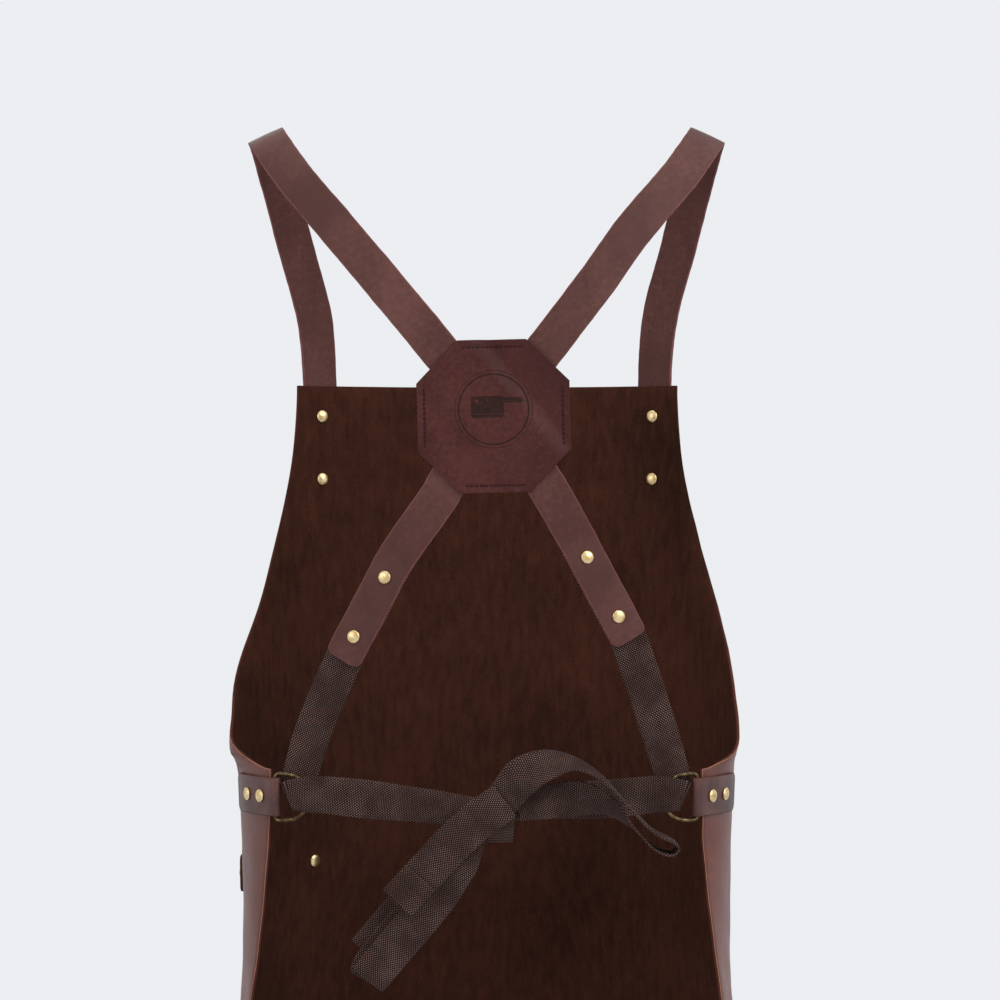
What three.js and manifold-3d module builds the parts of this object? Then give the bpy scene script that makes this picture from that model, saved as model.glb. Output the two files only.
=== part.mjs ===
// A leather butcher apron with a cross-back harness, as it hangs on its wearer.
// Millimetres, +Z up. The wearer faces -Y and the wearer's left is +X. The origin is midway
// between the two places where the straps rest on the shoulders.

import * as THREE from 'three';
import { mergeVertices } from 'three/addons/utils/BufferGeometryUtils.js';
import Module from 'manifold-3d';

// ---- Driving dimensions -------------------------------------------------------------------

const GAP = 0.35; // between two pieces that touch on the real apron

// Panel, cut flat from one hide. Across it, s runs from 0 at the front centre line.
const LEATHER = 2.0; // panel thickness
const BIB_TOP = -165; // height of the bib's top edge
const BIB_HALF = 140; // half the bib's width
const ARMHOLE_LOW = -421; // height of the side corners, where the armholes end
const SKIRT_HALF = 290; // half the panel's full width
const ARMHOLE_POWER = 1.8; // 2 is an ellipse, less is a straighter armhole
const HEM = -1005; // height of the bottom edge
const HEM_CORNER = 40; // radius of the hem's corners

// The wearer's girth as half-ellipses that the panel lies on: height, half width, half depth.
const GIRTH = [
  [-1005, 205, 160],
  [-750, 181, 150],
  [-575, 164, 138],
  [-500, 163, 126],
  [-421, 166, 115],
  [-300, 172, 117],
  [-165, 180, 118],
];

// Straps
const STRAP_WIDTH = 25;
const STRAP_THICK = 3.0;
const STRAP_CORNER = 5; // rounding of a strap's end
const SHOULDER_X = 148; // from the middle to each strap's resting place
const SHOULDER_SLOPE = 25; // degrees that a shoulder falls outwards
const STRAP_INSET = 6.5; // from the bib's side edge to the strap's edge
const BIB_LAP = 80; // how far a strap runs down over the bib
const STRAP_END_INSIDE = 44.2; // from a ring's bar inwards to the strap's end
const STRAP_END_ABOVE = 96.5; // from the rings' middles up to the straps' ends
const STRAP_SLIP = 6.5; // one end has been pulled this much lower, and the other higher

// Patch over the crossing
const CROSS = [-5, 97.5, -191]; // centre of the crossing
const CROSS_LEAN_LEFT = 39.5; // degrees between the vertical and the strap from the shoulder at +X
const CROSS_LEAN_RIGHT = 37.3; // the same for the strap from the shoulder at -X
const LOW_TURN = 8; // degrees that each strap turns down under the patch's lower half
const PATCH_SIZE = 98; // across its straight sides
const PATCH_CUT = 27; // leg of each cut-off corner
const FLAT_PAST_PATCH = 5; // the straps stay flat this far past the patch
const FLANK_FROM = 2.5; // from a strap's edge to where the leaf over it starts to come down
const FLANK_TO = 16; // from a strap's edge to where the leaf over it is down
const PATCH_LEATHER = 2.2;
const PATCH_TURN = 1.5; // degrees, the way it has settled
const STITCH_INSET = 4.5; // stitch row to patch edge
const STITCH_END = 4; // from the end of a stitch row to the patch's corner
const THREAD = 0.9;

// Webbing
const WEB_WIDTH = 25;
const WEB_THICK = 1.5;
const WEB_LAP = 70; // how far the webbing runs up under a strap's end
const LAP_ROOM = 0.5; // between the strap and the webbing under it
const FOLD_ROOM = 0.65; // between the ring's wire and the webbing round it
const FOLD_TO_TAB = 0.25; // from the fold's nearest corner to the tab
const FOLD_ABOVE = 1.5; // from the ring's middle up to the fold's
const FOLD_LEAN = 23.6; // degrees that the fold leans from upright, its top outwards
const FOLD_TUCK = 2.5; // how much each edge of the webbing draws in inside the ring
const TIE_BACK_Y = 103.6; // the two tie planes meet here, behind the wearer
const GATHER = 3.5; // how much each edge draws in where the webbing is pulled into the knot

// D-rings and their tabs
const WIRE = 2.5; // wire diameter
const RING_SIDE_ROOM = 2.6; // between the ring and what passes through it, both sides together
const RING_DEPTH = 20.5; // clear depth from the bar to the middle of the bow
const RING_LEVEL = -438.5; // height of the rings' middles
const RING_SWING_ROOM = 0.45; // between the bar and the tab round it
const BAR_REACH = 4.5; // from the panel's side edge to the bar's centre
const WIRE_JOINT = 0.5; // the wire's two ends butt with this gap, inside the tab
const TAB_WIDTH = 25;
const TAB_LEATHER = 1.8;
const TAB_LAP = 45; // how far the tab lies on the panel
const TAB_CORNER = 4;
const TAB_RIVETS = [8, 25]; // from the panel's side edge
const RING_INSIDE = Math.max(TAB_WIDTH, WEB_WIDTH) + RING_SIDE_ROOM; // clear length along the bar

// Rivets
const CAP_RADIUS = 4.25;
const CAP_RISE = 1.7;
const POST_RADIUS = 1.5;
const HOLE_ROOM = 0.4; // round a rivet's post
const STRAP_RIVETS = [17.5, 61.5]; // from a strap's end
const BIB_RIVETS = [15, 59]; // from a strap's end on the bib

// Towel loop at the wearer's left hip
const LOOP_LEVEL = -497;
const LOOP_WIDTH = 25;
const LOOP_LEATHER = 2.2;
const LOOP_START = 122; // along s, where the loop's front end lies
const LOOP_END = 222;
const LOOP_RIVET_INSET = 9;
const LOOP_STAND = 16; // how far its middle stands off the panel
const LOOP_CORNER = 4;
const LOOP_ROOM = 0.55; // between the panel and the loop's ends

// ---- Small helpers ------------------------------------------------------------------------

const vec = (x, y, z) => new THREE.Vector3(x, y, z);
const radians = THREE.MathUtils.degToRad;
const wasm = await Module();
wasm.setup();

/** A smooth value through rows of [key, value...], for column `column`, at `key`. */
function through(rows, column, key) {
  const last = rows.length - 1;
  let k = 0;
  while (k < last - 1 && key > rows[k + 1][0]) k += 1;
  const slope = (i) => {
    const low = rows[Math.max(i - 1, 0)];
    const high = rows[Math.min(i + 1, last)];
    return (high[column] - low[column]) / (high[0] - low[0]);
  };
  const [from, to] = [rows[k], rows[k + 1]];
  const span = to[0] - from[0];
  const t = THREE.MathUtils.clamp((key - from[0]) / span, 0, 1);
  const rise = to[column] - from[column];
  const bend = slope(k) * span;
  const c2 = 3 * rise - 2 * bend - slope(k + 1) * span;
  const c3 = bend + slope(k + 1) * span - 2 * rise;
  return from[column] + t * (bend + t * (c2 + t * c3));
}

/** 0 below `from`, 1 above `to`, smooth between. */
const ease = (value, from, to) => THREE.MathUtils.smoothstep(value, from, to);

/** A closed solid from loops of points: `loops[i][j]` is point j of cross-section i. */
function loft(loops) {
  const count = loops[0].length;
  const points = loops.flat();
  const index = [];
  for (let i = 0; i + 1 < loops.length; i += 1) {
    for (let j = 0; j < count; j += 1) {
      const a = i * count + j;
      const b = i * count + ((j + 1) % count);
      index.push(a, b, b + count, a, b + count, a + count);
    }
  }
  const top = (loops.length - 1) * count;
  for (let j = 1; j + 1 < count; j += 1) {
    index.push(0, j + 1, j);
    index.push(top, top + j, top + j + 1);
  }
  return closed(points, index);
}

/** A closed sheet from a grid of middle points and normals, `thick` through. */
function sheet(grid, thick) {
  const rows = grid.length;
  const columns = grid[0].length;
  const side = (way) => grid.flat().map(({ at, out }) => at.clone().addScaledVector(out, (way * thick) / 2));
  const points = [...side(1), ...side(-1)];
  const back = rows * columns;
  const index = [];
  const quad = (a, b, c, d) => index.push(a, b, c, a, c, d);
  for (let i = 0; i + 1 < rows; i += 1) {
    for (let j = 0; j + 1 < columns; j += 1) {
      const a = i * columns + j;
      quad(a, a + 1, a + columns + 1, a + columns);
      quad(back + a, back + a + columns, back + a + columns + 1, back + a + 1);
    }
  }
  for (let j = 0; j + 1 < columns; j += 1) {
    const end = (rows - 1) * columns + j;
    quad(j, back + j, back + j + 1, j + 1);
    quad(end, end + 1, back + end + 1, back + end);
  }
  for (let i = 0; i + 1 < rows; i += 1) {
    const left = i * columns;
    const right = left + columns - 1;
    quad(left, left + columns, back + left + columns, back + left);
    quad(right, back + right, back + right + columns, right + columns);
  }
  return closed(points, index);
}

/** A geometry of these points and triangles, turned so that its faces point outwards. */
function closed(points, index) {
  const loose = new THREE.BufferGeometry().setFromPoints(points);
  loose.setIndex(index);
  const geometry = mergeVertices(loose, 1e-3);
  const corners = geometry.index.array;
  const kept = [];
  let volume = 0;
  for (let i = 0; i < corners.length; i += 3) {
    const [a, b, c] = corners.slice(i, i + 3);
    if (a === b || b === c || c === a) continue;
    kept.push(a, b, c);
    volume += points[index[i]].dot(points[index[i + 1]].clone().cross(points[index[i + 2]]));
  }
  geometry.setIndex(volume < 0 ? kept.reverse() : kept);
  return geometry;
}

/** The manifold solid of a closed three.js geometry. */
function solid(geometry) {
  const bare = geometry.clone();
  bare.deleteAttribute('normal');
  bare.deleteAttribute('uv');
  const merged = mergeVertices(bare, 1e-4);
  const vertProperties = new Float32Array(merged.attributes.position.array);
  const triVerts = new Uint32Array(merged.index.array);
  return new wasm.Manifold(new wasm.Mesh({ numProp: 3, vertProperties, triVerts }));
}

/** `geometry` with a round hole bored at each frame, along the frame's `out`. */
function bored(geometry, frames, reach = 12) {
  const radius = POST_RADIUS + HOLE_ROOM;
  let body = solid(geometry);
  for (const frame of frames) {
    const drill = new THREE.CylinderGeometry(radius, radius, 2 * reach, 10);
    drill.applyMatrix4(placed(frame));
    body = body.subtract(solid(drill));
  }
  const mesh = body.getMesh();
  const result = new THREE.BufferGeometry();
  result.setAttribute('position', new THREE.BufferAttribute(new Float32Array(mesh.vertProperties), 3));
  result.setIndex(new THREE.BufferAttribute(new Uint32Array(mesh.triVerts), 1));
  return result;
}

/** The matrix that puts a piece modelled along +Y at `frame`, with +Y along its `out`. */
function placed({ at, out }) {
  const turn = new THREE.Quaternion().setFromUnitVectors(vec(0, 1, 0), out.clone().normalize());
  return new THREE.Matrix4().compose(at, turn, vec(1, 1, 1));
}

// ---- Bands: straps, webbing, tabs and loops -------------------------------------------------

/**
 * A flat band along a smooth route. Each key is { at, out, half }: a point of the middle line,
 * the way the band's outer face looks there, and half the band's width (the band's own if absent).
 */
class Band {
  constructor(keys, { width, thick, corner = 0, steps = 4 }) {
    this.width = width;
    this.thick = thick;
    this.corner = corner;
    this.route = new THREE.CatmullRomCurve3(keys.map((key) => key.at), false, 'centripetal');
    this.facing = new THREE.CatmullRomCurve3(keys.map((key) => key.out), false, 'centripetal');
    this.halves = keys.map((key) => key.half ?? width / 2);
    this.spans = keys.length - 1;
    this.marks = this.measure(steps * this.spans);
    this.length = this.marks.at(-1).along;
  }

  /** The distance along the band at evenly spread places of the route. */
  measure(count) {
    const marks = [{ u: 0, along: 0 }];
    for (let i = 1; i <= count; i += 1) {
      const u = i / count;
      const step = this.route.getPoint(u).distanceTo(this.route.getPoint(marks[i - 1].u));
      marks.push({ u, along: marks[i - 1].along + step });
    }
    return marks;
  }

  /** Point, outer face, run and cross directions at `along` from the start. */
  frame(along) {
    const { marks } = this;
    let k = 0;
    while (k < marks.length - 2 && along > marks[k + 1].along) k += 1;
    const part = (along - marks[k].along) / (marks[k + 1].along - marks[k].along);
    return this.frameAt(marks[k].u + part * (marks[k + 1].u - marks[k].u));
  }

  frameAt(u) {
    const at = this.route.getPoint(u);
    const run = this.route.getTangent(u).normalize();
    const across = run.clone().cross(this.facing.getPoint(u)).normalize();
    const out = across.clone().cross(run).normalize();
    const key = Math.min(Math.floor(u * this.spans), this.spans - 1);
    const blend = ease(u * this.spans - key, 0, 1);
    const half = THREE.MathUtils.lerp(this.halves[key], this.halves[key + 1], blend);
    return { at, run, across, out, half };
  }

  /** `frame(along)` moved `offset` out from the band's middle. */
  beside(along, offset) {
    const frame = this.frame(along);
    return { ...frame, at: frame.at.clone().addScaledVector(frame.out, offset) };
  }

  /** How much narrower each side is at `distance` from a rounded end. */
  rounding(distance) {
    const inside = Math.max(this.corner - distance, 0);
    return this.corner - Math.sqrt(this.corner ** 2 - inside ** 2);
  }

  geometry() {
    const { length, corner } = this;
    const turns = corner ? [0.08, 0.3, 0.6, 1] : [];
    const near = [...turns.map((t) => t * corner), ...turns.map((t) => length - t * corner)];
    const inner = this.marks.map((mark) => mark.along);
    const clearOf = (along) => near.every((other) => Math.abs(other - along) > 0.8);
    const ends = [0, length];
    const kept = inner.filter((along) => along > 0 && along < length && clearOf(along));
    const stations = [...ends, ...near, ...kept].sort((a, b) => a - b);
    return loft(stations.map((along) => this.section(along)));
  }

  section(along) {
    const { at, across, out, half } = this.frame(along);
    const side = half - this.rounding(Math.min(along, this.length - along));
    const corners = [[1, 1], [1, -1], [-1, -1], [-1, 1]];
    return corners.map(([a, b]) =>
      at.clone().addScaledVector(across, a * side).addScaledVector(out, (b * this.thick) / 2),
    );
  }
}

// ---- The panel ------------------------------------------------------------------------------

/** Point, cross direction and outward normal of the panel's middle surface, `s` across and `z` up. */
function panelFrame(s, z) {
  const at = onGirth(s, z);
  const run = onGirth(s + 1, z).sub(onGirth(s - 1, z)).normalize();
  const up = onGirth(s, z + 1).sub(onGirth(s, z - 1));
  return { at, run, out: run.clone().cross(up).normalize() };
}

/** The point that lies `s` round the girth ellipse from the front centre, at height z. */
function onGirth(s, z) {
  const a = through(GIRTH, 1, z);
  const b = through(GIRTH, 2, z);
  const steps = 60;
  const part = Math.abs(s) / steps;
  let angle = 0;
  for (let i = 0; i < steps; i += 1) {
    const speed = (t) => Math.hypot(a * Math.cos(t), b * Math.sin(t));
    angle += part / speed(angle + part / speed(angle) / 2);
  }
  return vec(Math.sign(s) * a * Math.sin(angle), -b * Math.cos(angle), z);
}

/** The places across the panel where its mesh has a column, from the right side to the left. */
function panelColumns() {
  const evenly = (from, to, count) =>
    Array.from({ length: count + 1 }, (_, i) => from + ((to - from) * i) / count);
  const near = [1.5, 5].map((past) => BIB_HALF + past);
  const side = [...near, ...evenly(BIB_HALF + 12, SKIRT_HALF, 12)];
  return [...side.map((s) => -s).reverse(), ...evenly(-BIB_HALF, BIB_HALF, 24), ...side];
}

/** How high the panel's upper edge lies at `s`: level on the bib, then down round the armhole. */
function upperAt(s) {
  const inward = (SKIRT_HALF - Math.abs(s)) / (SKIRT_HALF - BIB_HALF);
  if (inward >= 1) return BIB_TOP;
  const drop = (1 - inward ** ARMHOLE_POWER) ** (1 / ARMHOLE_POWER);
  return BIB_TOP + (ARMHOLE_LOW - BIB_TOP) * drop;
}

/** How high the hem lies at `s`, with rounded corners. */
function hemAt(s) {
  const past = Math.max(Math.abs(s) - (SKIRT_HALF - HEM_CORNER), 0);
  return HEM + HEM_CORNER - Math.sqrt(Math.max(HEM_CORNER ** 2 - past ** 2, 0));
}

/** The panel: rows down to the armholes' low ends, then rows that grow apart down to the hem. */
function panelGeometry(holes) {
  const [above, below] = [5, 12];
  const level = (s, row) => {
    if (row < above) return THREE.MathUtils.lerp(upperAt(s), ARMHOLE_LOW, row / above);
    return THREE.MathUtils.lerp(ARMHOLE_LOW, hemAt(s), ((row - above) / below) ** 1.5);
  };
  const rows = Array.from({ length: above + below + 1 }, (_, row) => row);
  const grid = rows.map((row) => panelColumns().map((s) => panelFrame(s, level(s, row))));
  return bored(sheet(grid, LEATHER), holes);
}

// ---- The tie planes, rings and tabs -----------------------------------------------------------

// On each side, the webbing, the ring and the strap's end lie along one upright plane, which
// runs outwards and forwards from the middle of the back to the ring's bar.
const BAR = ringPlace(1).bar;
const TIE_TURN = Math.atan2(TIE_BACK_Y - BAR.y, BAR.x);
const tieOut = (side) => vec(side * Math.sin(TIE_TURN), Math.cos(TIE_TURN), 0);
const tieY = (x) => TIE_BACK_Y - Math.abs(x) * Math.tan(TIE_TURN);

/** The point of the tie plane at (x, z), moved `offset` out. */
function onTie(side, x, z, offset = 0) {
  return vec(side * x, tieY(x), z).addScaledVector(tieOut(side), offset);
}

/** The panel's side edge at ring level, and the ring's bar beyond it. */
function ringPlace(side) {
  const edge = panelFrame(side * SKIRT_HALF, RING_LEVEL);
  const beyond = edge.run.multiplyScalar(side).normalize();
  const bar = edge.at.clone().addScaledVector(beyond, BAR_REACH);
  return { bar, beyond, out: edge.out.setZ(0).normalize() };
}

function ringGeometry(side) {
  const { bar } = ringPlace(side);
  const inward = tieOut(side).cross(vec(0, 0, side)).negate();
  const half = (RING_INSIDE + WIRE) / 2;
  const straight = RING_DEPTH + WIRE - half;
  const bend = 2.5;
  const outline = [[0, WIRE_JOINT / 2], [0, half * 0.5], [0, half - bend], [bend * 0.3, half - bend * 0.3]];
  outline.push([bend, half], [straight, half]);
  const bow = 8;
  for (let i = 1; i < bow; i += 1) {
    const turn = Math.PI * (i / bow);
    outline.push([straight + half * Math.sin(turn), half * Math.cos(turn)]);
  }
  outline.push([straight, -half], [bend, -half], [bend * 0.3, bend * 0.3 - half]);
  outline.push([0, bend - half], [0, -half * 0.5], [0, -WIRE_JOINT / 2]);
  const points = outline.map(([depth, up]) => bar.clone().addScaledVector(inward, depth).add(vec(0, 0, up)));
  const path = new THREE.CatmullRomCurve3(points, false, 'centripetal');
  const section = new THREE.Shape().absarc(0, 0, WIRE / 2, 0, 2 * Math.PI);
  return new THREE.ExtrudeGeometry(section, { steps: 44, curveSegments: 4, extrudePath: path });
}

/** The leather tab: outer leg, fold round the bar, inner leg. */
function tabBand(side) {
  const { bar, beyond, out } = ringPlace(side);
  const off = LEATHER / 2 + GAP + TAB_LEATHER / 2;
  const bend = WIRE / 2 + RING_SWING_ROOM + TAB_LEATHER / 2;
  const leg = (way) =>
    [TAB_LAP, TAB_LAP * 0.75, TAB_LAP * 0.5, TAB_LAP * 0.25, 4].map((back) => {
      const frame = panelFrame(side * (SKIRT_HALF - back), RING_LEVEL);
      const face = frame.out.clone().multiplyScalar(way);
      return { at: frame.at.clone().addScaledVector(face, off), out: face };
    });
  const fold = [-90, -45, 0, 45, 90].map((angle) => {
    const face = beyond.clone().multiplyScalar(Math.cos(radians(angle)));
    face.addScaledVector(out, -Math.sin(radians(angle)));
    return { at: bar.clone().addScaledVector(face, bend), out: face };
  });
  const keys = [...leg(1), ...fold, ...leg(-1).reverse()];
  return new Band(keys, { width: TAB_WIDTH, thick: TAB_LEATHER, corner: TAB_CORNER, steps: 3 });
}

// ---- Straps and patch -------------------------------------------------------------------------

/** How far from the crossing's middle plane each strap's middle lies. */
const LAYER = STRAP_THICK / 2 + GAP / 2;

/** The angle between the vertical and the strap from the shoulder at +X (side 1) or -X (side -1). */
function crossLean(side) {
  return radians(side > 0 ? CROSS_LEAN_LEFT : CROSS_LEAN_RIGHT);
}

/**
 * A point of a strap at the crossing, `far` up it from the middle. It is straight, turns down along
 * an arc under the patch's lower half, and is straight again.
 */
function atCrossing(side, far) {
  const lean = crossLean(side);
  const turn = radians(LOW_TURN);
  const reach = PATCH_SIZE / 4 + FLAT_PAST_PATCH;
  const past = Math.min(far + PATCH_SIZE / 4, 0);
  const arc = Math.max(past, -reach);
  const stretches = [
    [far - past, lean],
    [arc, lean + (turn * arc) / (2 * reach)],
    [past - arc, lean - turn],
  ];
  const x = stretches.reduce((sum, [length, angle]) => sum + length * Math.sin(angle), 0);
  const z = stretches.reduce((sum, [length, angle]) => sum + length * Math.cos(angle), 0);
  return vec(CROSS[0] + side * x, CROSS[1] + side * LAYER, CROSS[2] + z);
}

/**
 * The strap that rests on the shoulder at +X (side 1) or -X (side -1), from its end on the bib,
 * over the shoulder, through the patch, to its end low on the other side of the back.
 */
function strapBand(side) {
  const across = BIB_HALF - STRAP_INSET - STRAP_WIDTH / 2;
  const lift = LEATHER / 2 + GAP + STRAP_THICK / 2;
  const onBib = [-1, -0.75, -0.5, -0.25, -0.04, 0.06].map((part) => {
    const frame = panelFrame(side * across, BIB_TOP + part * BIB_LAP);
    return { at: frame.at.clone().addScaledVector(frame.out, lift), out: frame.out };
  });
  const slope = radians(SHOULDER_SLOPE);
  const key = (x, y, z, outX, outY, outZ) => ({ at: vec(side * x, y, z), out: vec(side * outX, outY, outZ) });
  const shoulder = [
    key(SHOULDER_X - 27, -86, -118, 0.36, -0.9, 0.25),
    key(SHOULDER_X - 15, -72, -70, 0.38, -0.8, 0.45),
    key(SHOULDER_X - 5, -45, -27, 0.4, -0.52, 0.75),
    key(SHOULDER_X, -14, -4, 0.42, -0.15, 0.9),
    key(SHOULDER_X, 8, -1, Math.sin(slope), 0.1, Math.cos(slope)),
    key(SHOULDER_X - 6, 32, -10, 0.38, 0.5, 0.78),
    key(SHOULDER_X - 22, 58, -33, 0.28, 0.8, 0.52),
    key(SHOULDER_X - 52, 79.5, -69, 0.16, 0.95, 0.3),
    { at: atCrossing(side, 106).setY(92), out: vec(side * 0.06, 0.99, 0.12) },
  ];
  const flat = PATCH_SIZE / 2 + FLAT_PAST_PATCH;
  const fars = [flat + 20, flat + 8, flat, flat / 2, 0, -flat / 2, -flat, -flat - 8];
  const crossing = fars.map((far) => ({ at: atCrossing(side, far), out: vec(0, 1, 0) }));
  const webOffset = WEB_THICK / 2 + LAP_ROOM + STRAP_THICK / 2 - foldRadius();
  const lean = vec(0.47, 0, -0.88);
  const endX = BAR.x - STRAP_END_INSIDE;
  const endZ = RING_LEVEL + STRAP_END_ABOVE + side * STRAP_SLIP;
  const low = [-74, -50, -25, 0].map((back) => {
    const x = endX + lean.x * back;
    const at = onTie(-side, x, endZ + lean.z * back, webOffset);
    return { at, out: tieOut(-side) };
  });
  const keys = [...onBib, ...shoulder, ...crossing, ...low];
  return new Band(keys, { width: STRAP_WIDTH, thick: STRAP_THICK, corner: STRAP_CORNER });
}

/** How far a leaf stands off the crossing's middle plane, `aside` from the strap that it covers. */
function leafRise(aside) {
  const over = 1 - ease(Math.abs(aside), STRAP_WIDTH / 2 + FLANK_FROM, STRAP_WIDTH / 2 + FLANK_TO);
  const low = GAP / 2 + PATCH_LEATHER / 2;
  const high = LAYER + STRAP_THICK / 2 + GAP + PATCH_LEATHER / 2;
  return low + (high - low) * over;
}

/** A point of the patch, `x` and `z` from its centre before it settled, as it lies now. */
function settled(x, z) {
  return new THREE.Vector2(x, z).rotateAround(new THREE.Vector2(), -radians(PATCH_TURN));
}

/** Cross and run directions of the strap that a leaf covers, in the patch's plane. */
function coveredStrap(way) {
  const lean = crossLean(way);
  const run = new THREE.Vector2(way * Math.sin(lean), Math.cos(lean));
  return { run, cross: new THREE.Vector2(run.y, -run.x) };
}

/** The frame of a leaf's middle surface at a settled spot of the patch. */
function leafFrame(way, spot) {
  const rise = leafRise(spot.dot(coveredStrap(way).cross));
  return { at: vec(CROSS[0] + spot.x, CROSS[1] + way * rise, CROSS[2] + spot.y), out: vec(0, way, 0) };
}

/** The corners of the octagon, in order. */
function octagon() {
  const half = PATCH_SIZE / 2;
  const straight = half - PATCH_CUT;
  const quarter = [[straight, half], [half, straight]];
  const turned = [0, 1, 2, 3].map((turn) =>
    quarter.map(([x, z]) => new THREE.Vector2(x, z).rotateAround(new THREE.Vector2(), (-turn * Math.PI) / 2)),
  );
  return turned.flat().map((corner) => settled(corner.x, corner.y));
}

/**
 * One octagonal leaf: way 1 looks away from the wearer, -1 lies on the wearer's back. Its rows
 * run along the strap that it covers, one through each corner and some down each flank.
 */
function leafGeometry(way) {
  const { run, cross } = coveredStrap(way);
  const corners = octagon();
  const asides = corners.map((corner) => corner.dot(cross));
  const tip = Math.max(...asides) - 0.5;
  const flank = [0, 0.25, 0.5, 0.75, 1].map(
    (part) => STRAP_WIDTH / 2 + THREE.MathUtils.lerp(FLANK_FROM, FLANK_TO, part),
  );
  const inside = asides.filter((aside) => Math.abs(aside) < tip);
  const rows = [...inside, ...flank, ...flank.map((aside) => -aside), tip, -tip].sort((a, b) => a - b);
  const ends = (aside) => {
    const hits = corners.flatMap((from, i) => {
      const to = corners[(i + 1) % corners.length];
      const part = (aside - asides[i]) / (to.dot(cross) - asides[i]);
      return part >= 0 && part <= 1 ? [from.clone().lerp(to, part).dot(run)] : [];
    });
    return [Math.min(...hits), Math.max(...hits)];
  };
  const parts = [0, 0.34, 0.66, 1];
  const grid = rows.map((aside) => {
    const [low, high] = ends(aside);
    return parts.map((part) => {
      const along = THREE.MathUtils.lerp(low, high, part);
      const spot = cross.clone().multiplyScalar(aside).addScaledVector(run, along);
      return leafFrame(way, spot);
    });
  });
  return sheet(grid, PATCH_LEATHER);
}

/** A stitch row along one straight side, turned from the top side about the patch's centre. */
function stitchBand(turn) {
  const reach = PATCH_SIZE / 2 - STITCH_INSET;
  const row = PATCH_SIZE - 2 * PATCH_CUT - 2 * STITCH_END;
  const count = Math.ceil(row / 3);
  const keys = Array.from({ length: count + 1 }, (_, i) => {
    const flat = new THREE.Vector2((i / count - 0.5) * row, reach);
    const spot = flat.rotateAround(new THREE.Vector2(), turn - radians(PATCH_TURN));
    const { at } = leafFrame(1, spot);
    const { cross } = coveredStrap(1);
    const aside = spot.dot(cross);
    const slope = leafRise(aside + 0.5) - leafRise(aside - 0.5);
    const out = vec(-slope * cross.x, 1, -slope * cross.y).normalize();
    const lift = PATCH_LEATHER / 2 + GAP + THREAD / 2;
    return { at: at.addScaledVector(out, lift), out };
  });
  return new Band(keys, { width: THREAD, thick: THREAD, steps: 1 });
}

// ---- Webbing ----------------------------------------------------------------------------------

/** Radius of the webbing's middle where it turns round the ring's wire. */
function foldRadius() {
  return WIRE / 2 + FOLD_ROOM + WEB_THICK / 2;
}

/** From the ring's bar to the middle of the fold: its top corner just clears the tab round the bar. */
function foldInside() {
  const tab = WIRE / 2 + RING_SWING_ROOM + TAB_LEATHER;
  const corner = (WEB_WIDTH / 2 - FOLD_TUCK) * Math.sin(radians(FOLD_LEAN));
  return tab + FOLD_TO_TAB + corner + foldRadius() + WEB_THICK / 2;
}

/** Webbing from under the strap's end, down through the ring and back across to the knot. */
function runBand(side, strap) {
  const under = STRAP_THICK / 2 + LAP_ROOM + WEB_THICK / 2;
  const lap = [1, 0.8, 0.6, 0.4, 0.2, 0.03].map((part) => part * WEB_LAP).map((back) => {
    const frame = strap.beside(strap.length - back, -under);
    return { at: frame.at, out: frame.out.clone().negate() };
  });
  const radius = foldRadius();
  const normal = tieOut(side);
  const foldX = BAR.x - foldInside() * Math.cos(TIE_TURN);
  const foldZ = RING_LEVEL + FOLD_ABOVE;
  const full = WEB_WIDTH / 2;
  const lean = radians(FOLD_LEAN);
  const outward = onTie(side, 1, 0).sub(onTie(side, 0, 0)).normalize();
  const away = outward.multiplyScalar(Math.cos(lean)).add(vec(0, 0, -Math.sin(lean)));
  const fold = [-90, -45, 0, 45, 90].map((angle) => {
    const face = away.clone().multiplyScalar(Math.cos(radians(angle)));
    face.addScaledVector(normal, Math.sin(radians(angle)));
    return { at: onTie(side, foldX, foldZ).addScaledVector(face, radius), out: face, half: full - FOLD_TUCK };
  });
  const flat = (x, z, way, tuck = 0) => ({
    at: onTie(side, x, z, way * radius),
    out: normal.clone().multiplyScalar(way),
    half: full - tuck,
  });
  const down = [flat(foldX - 13, foldZ + 40, -1), flat(foldX - 6, foldZ + 17, -1, 0.5)];
  const knot = KNOT.at[2] + (side > 0 ? 0 : 5);
  const last = Math.abs(KNOT.at[0] + (side * KNOT.size[0]) / 2 + side * GAP * 3);
  const signed = side > 0 ? -last : last;
  const back = [flat(foldX - 16, foldZ + 1, 1, 0.5), flat(foldX * 0.63, foldZ - 1, 1)];
  back.push(flat(foldX * 0.3, (foldZ + knot) / 2, 1, 1.5));
  const end = flat(signed, knot, 1, GATHER);
  end.at.y = TIE_BACK_Y + radius;
  const keys = [...lap, ...down, ...fold, ...back, end];
  return new Band(keys, { width: WEB_WIDTH, thick: WEB_THICK });
}

// The bow, tied behind the wearer. Each route is a list of middle points, measured from the
// knot's middle, with the way the band faces and, where the webbing is gathered, its half width.
const KNOT = { at: [-10.5, TIE_BACK_Y + foldRadius(), -446], size: [17, 14, 36] };
const step = (at, out, half) => ({ at: vec(...at).add(vec(...KNOT.at)), out: vec(...out), half });

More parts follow.
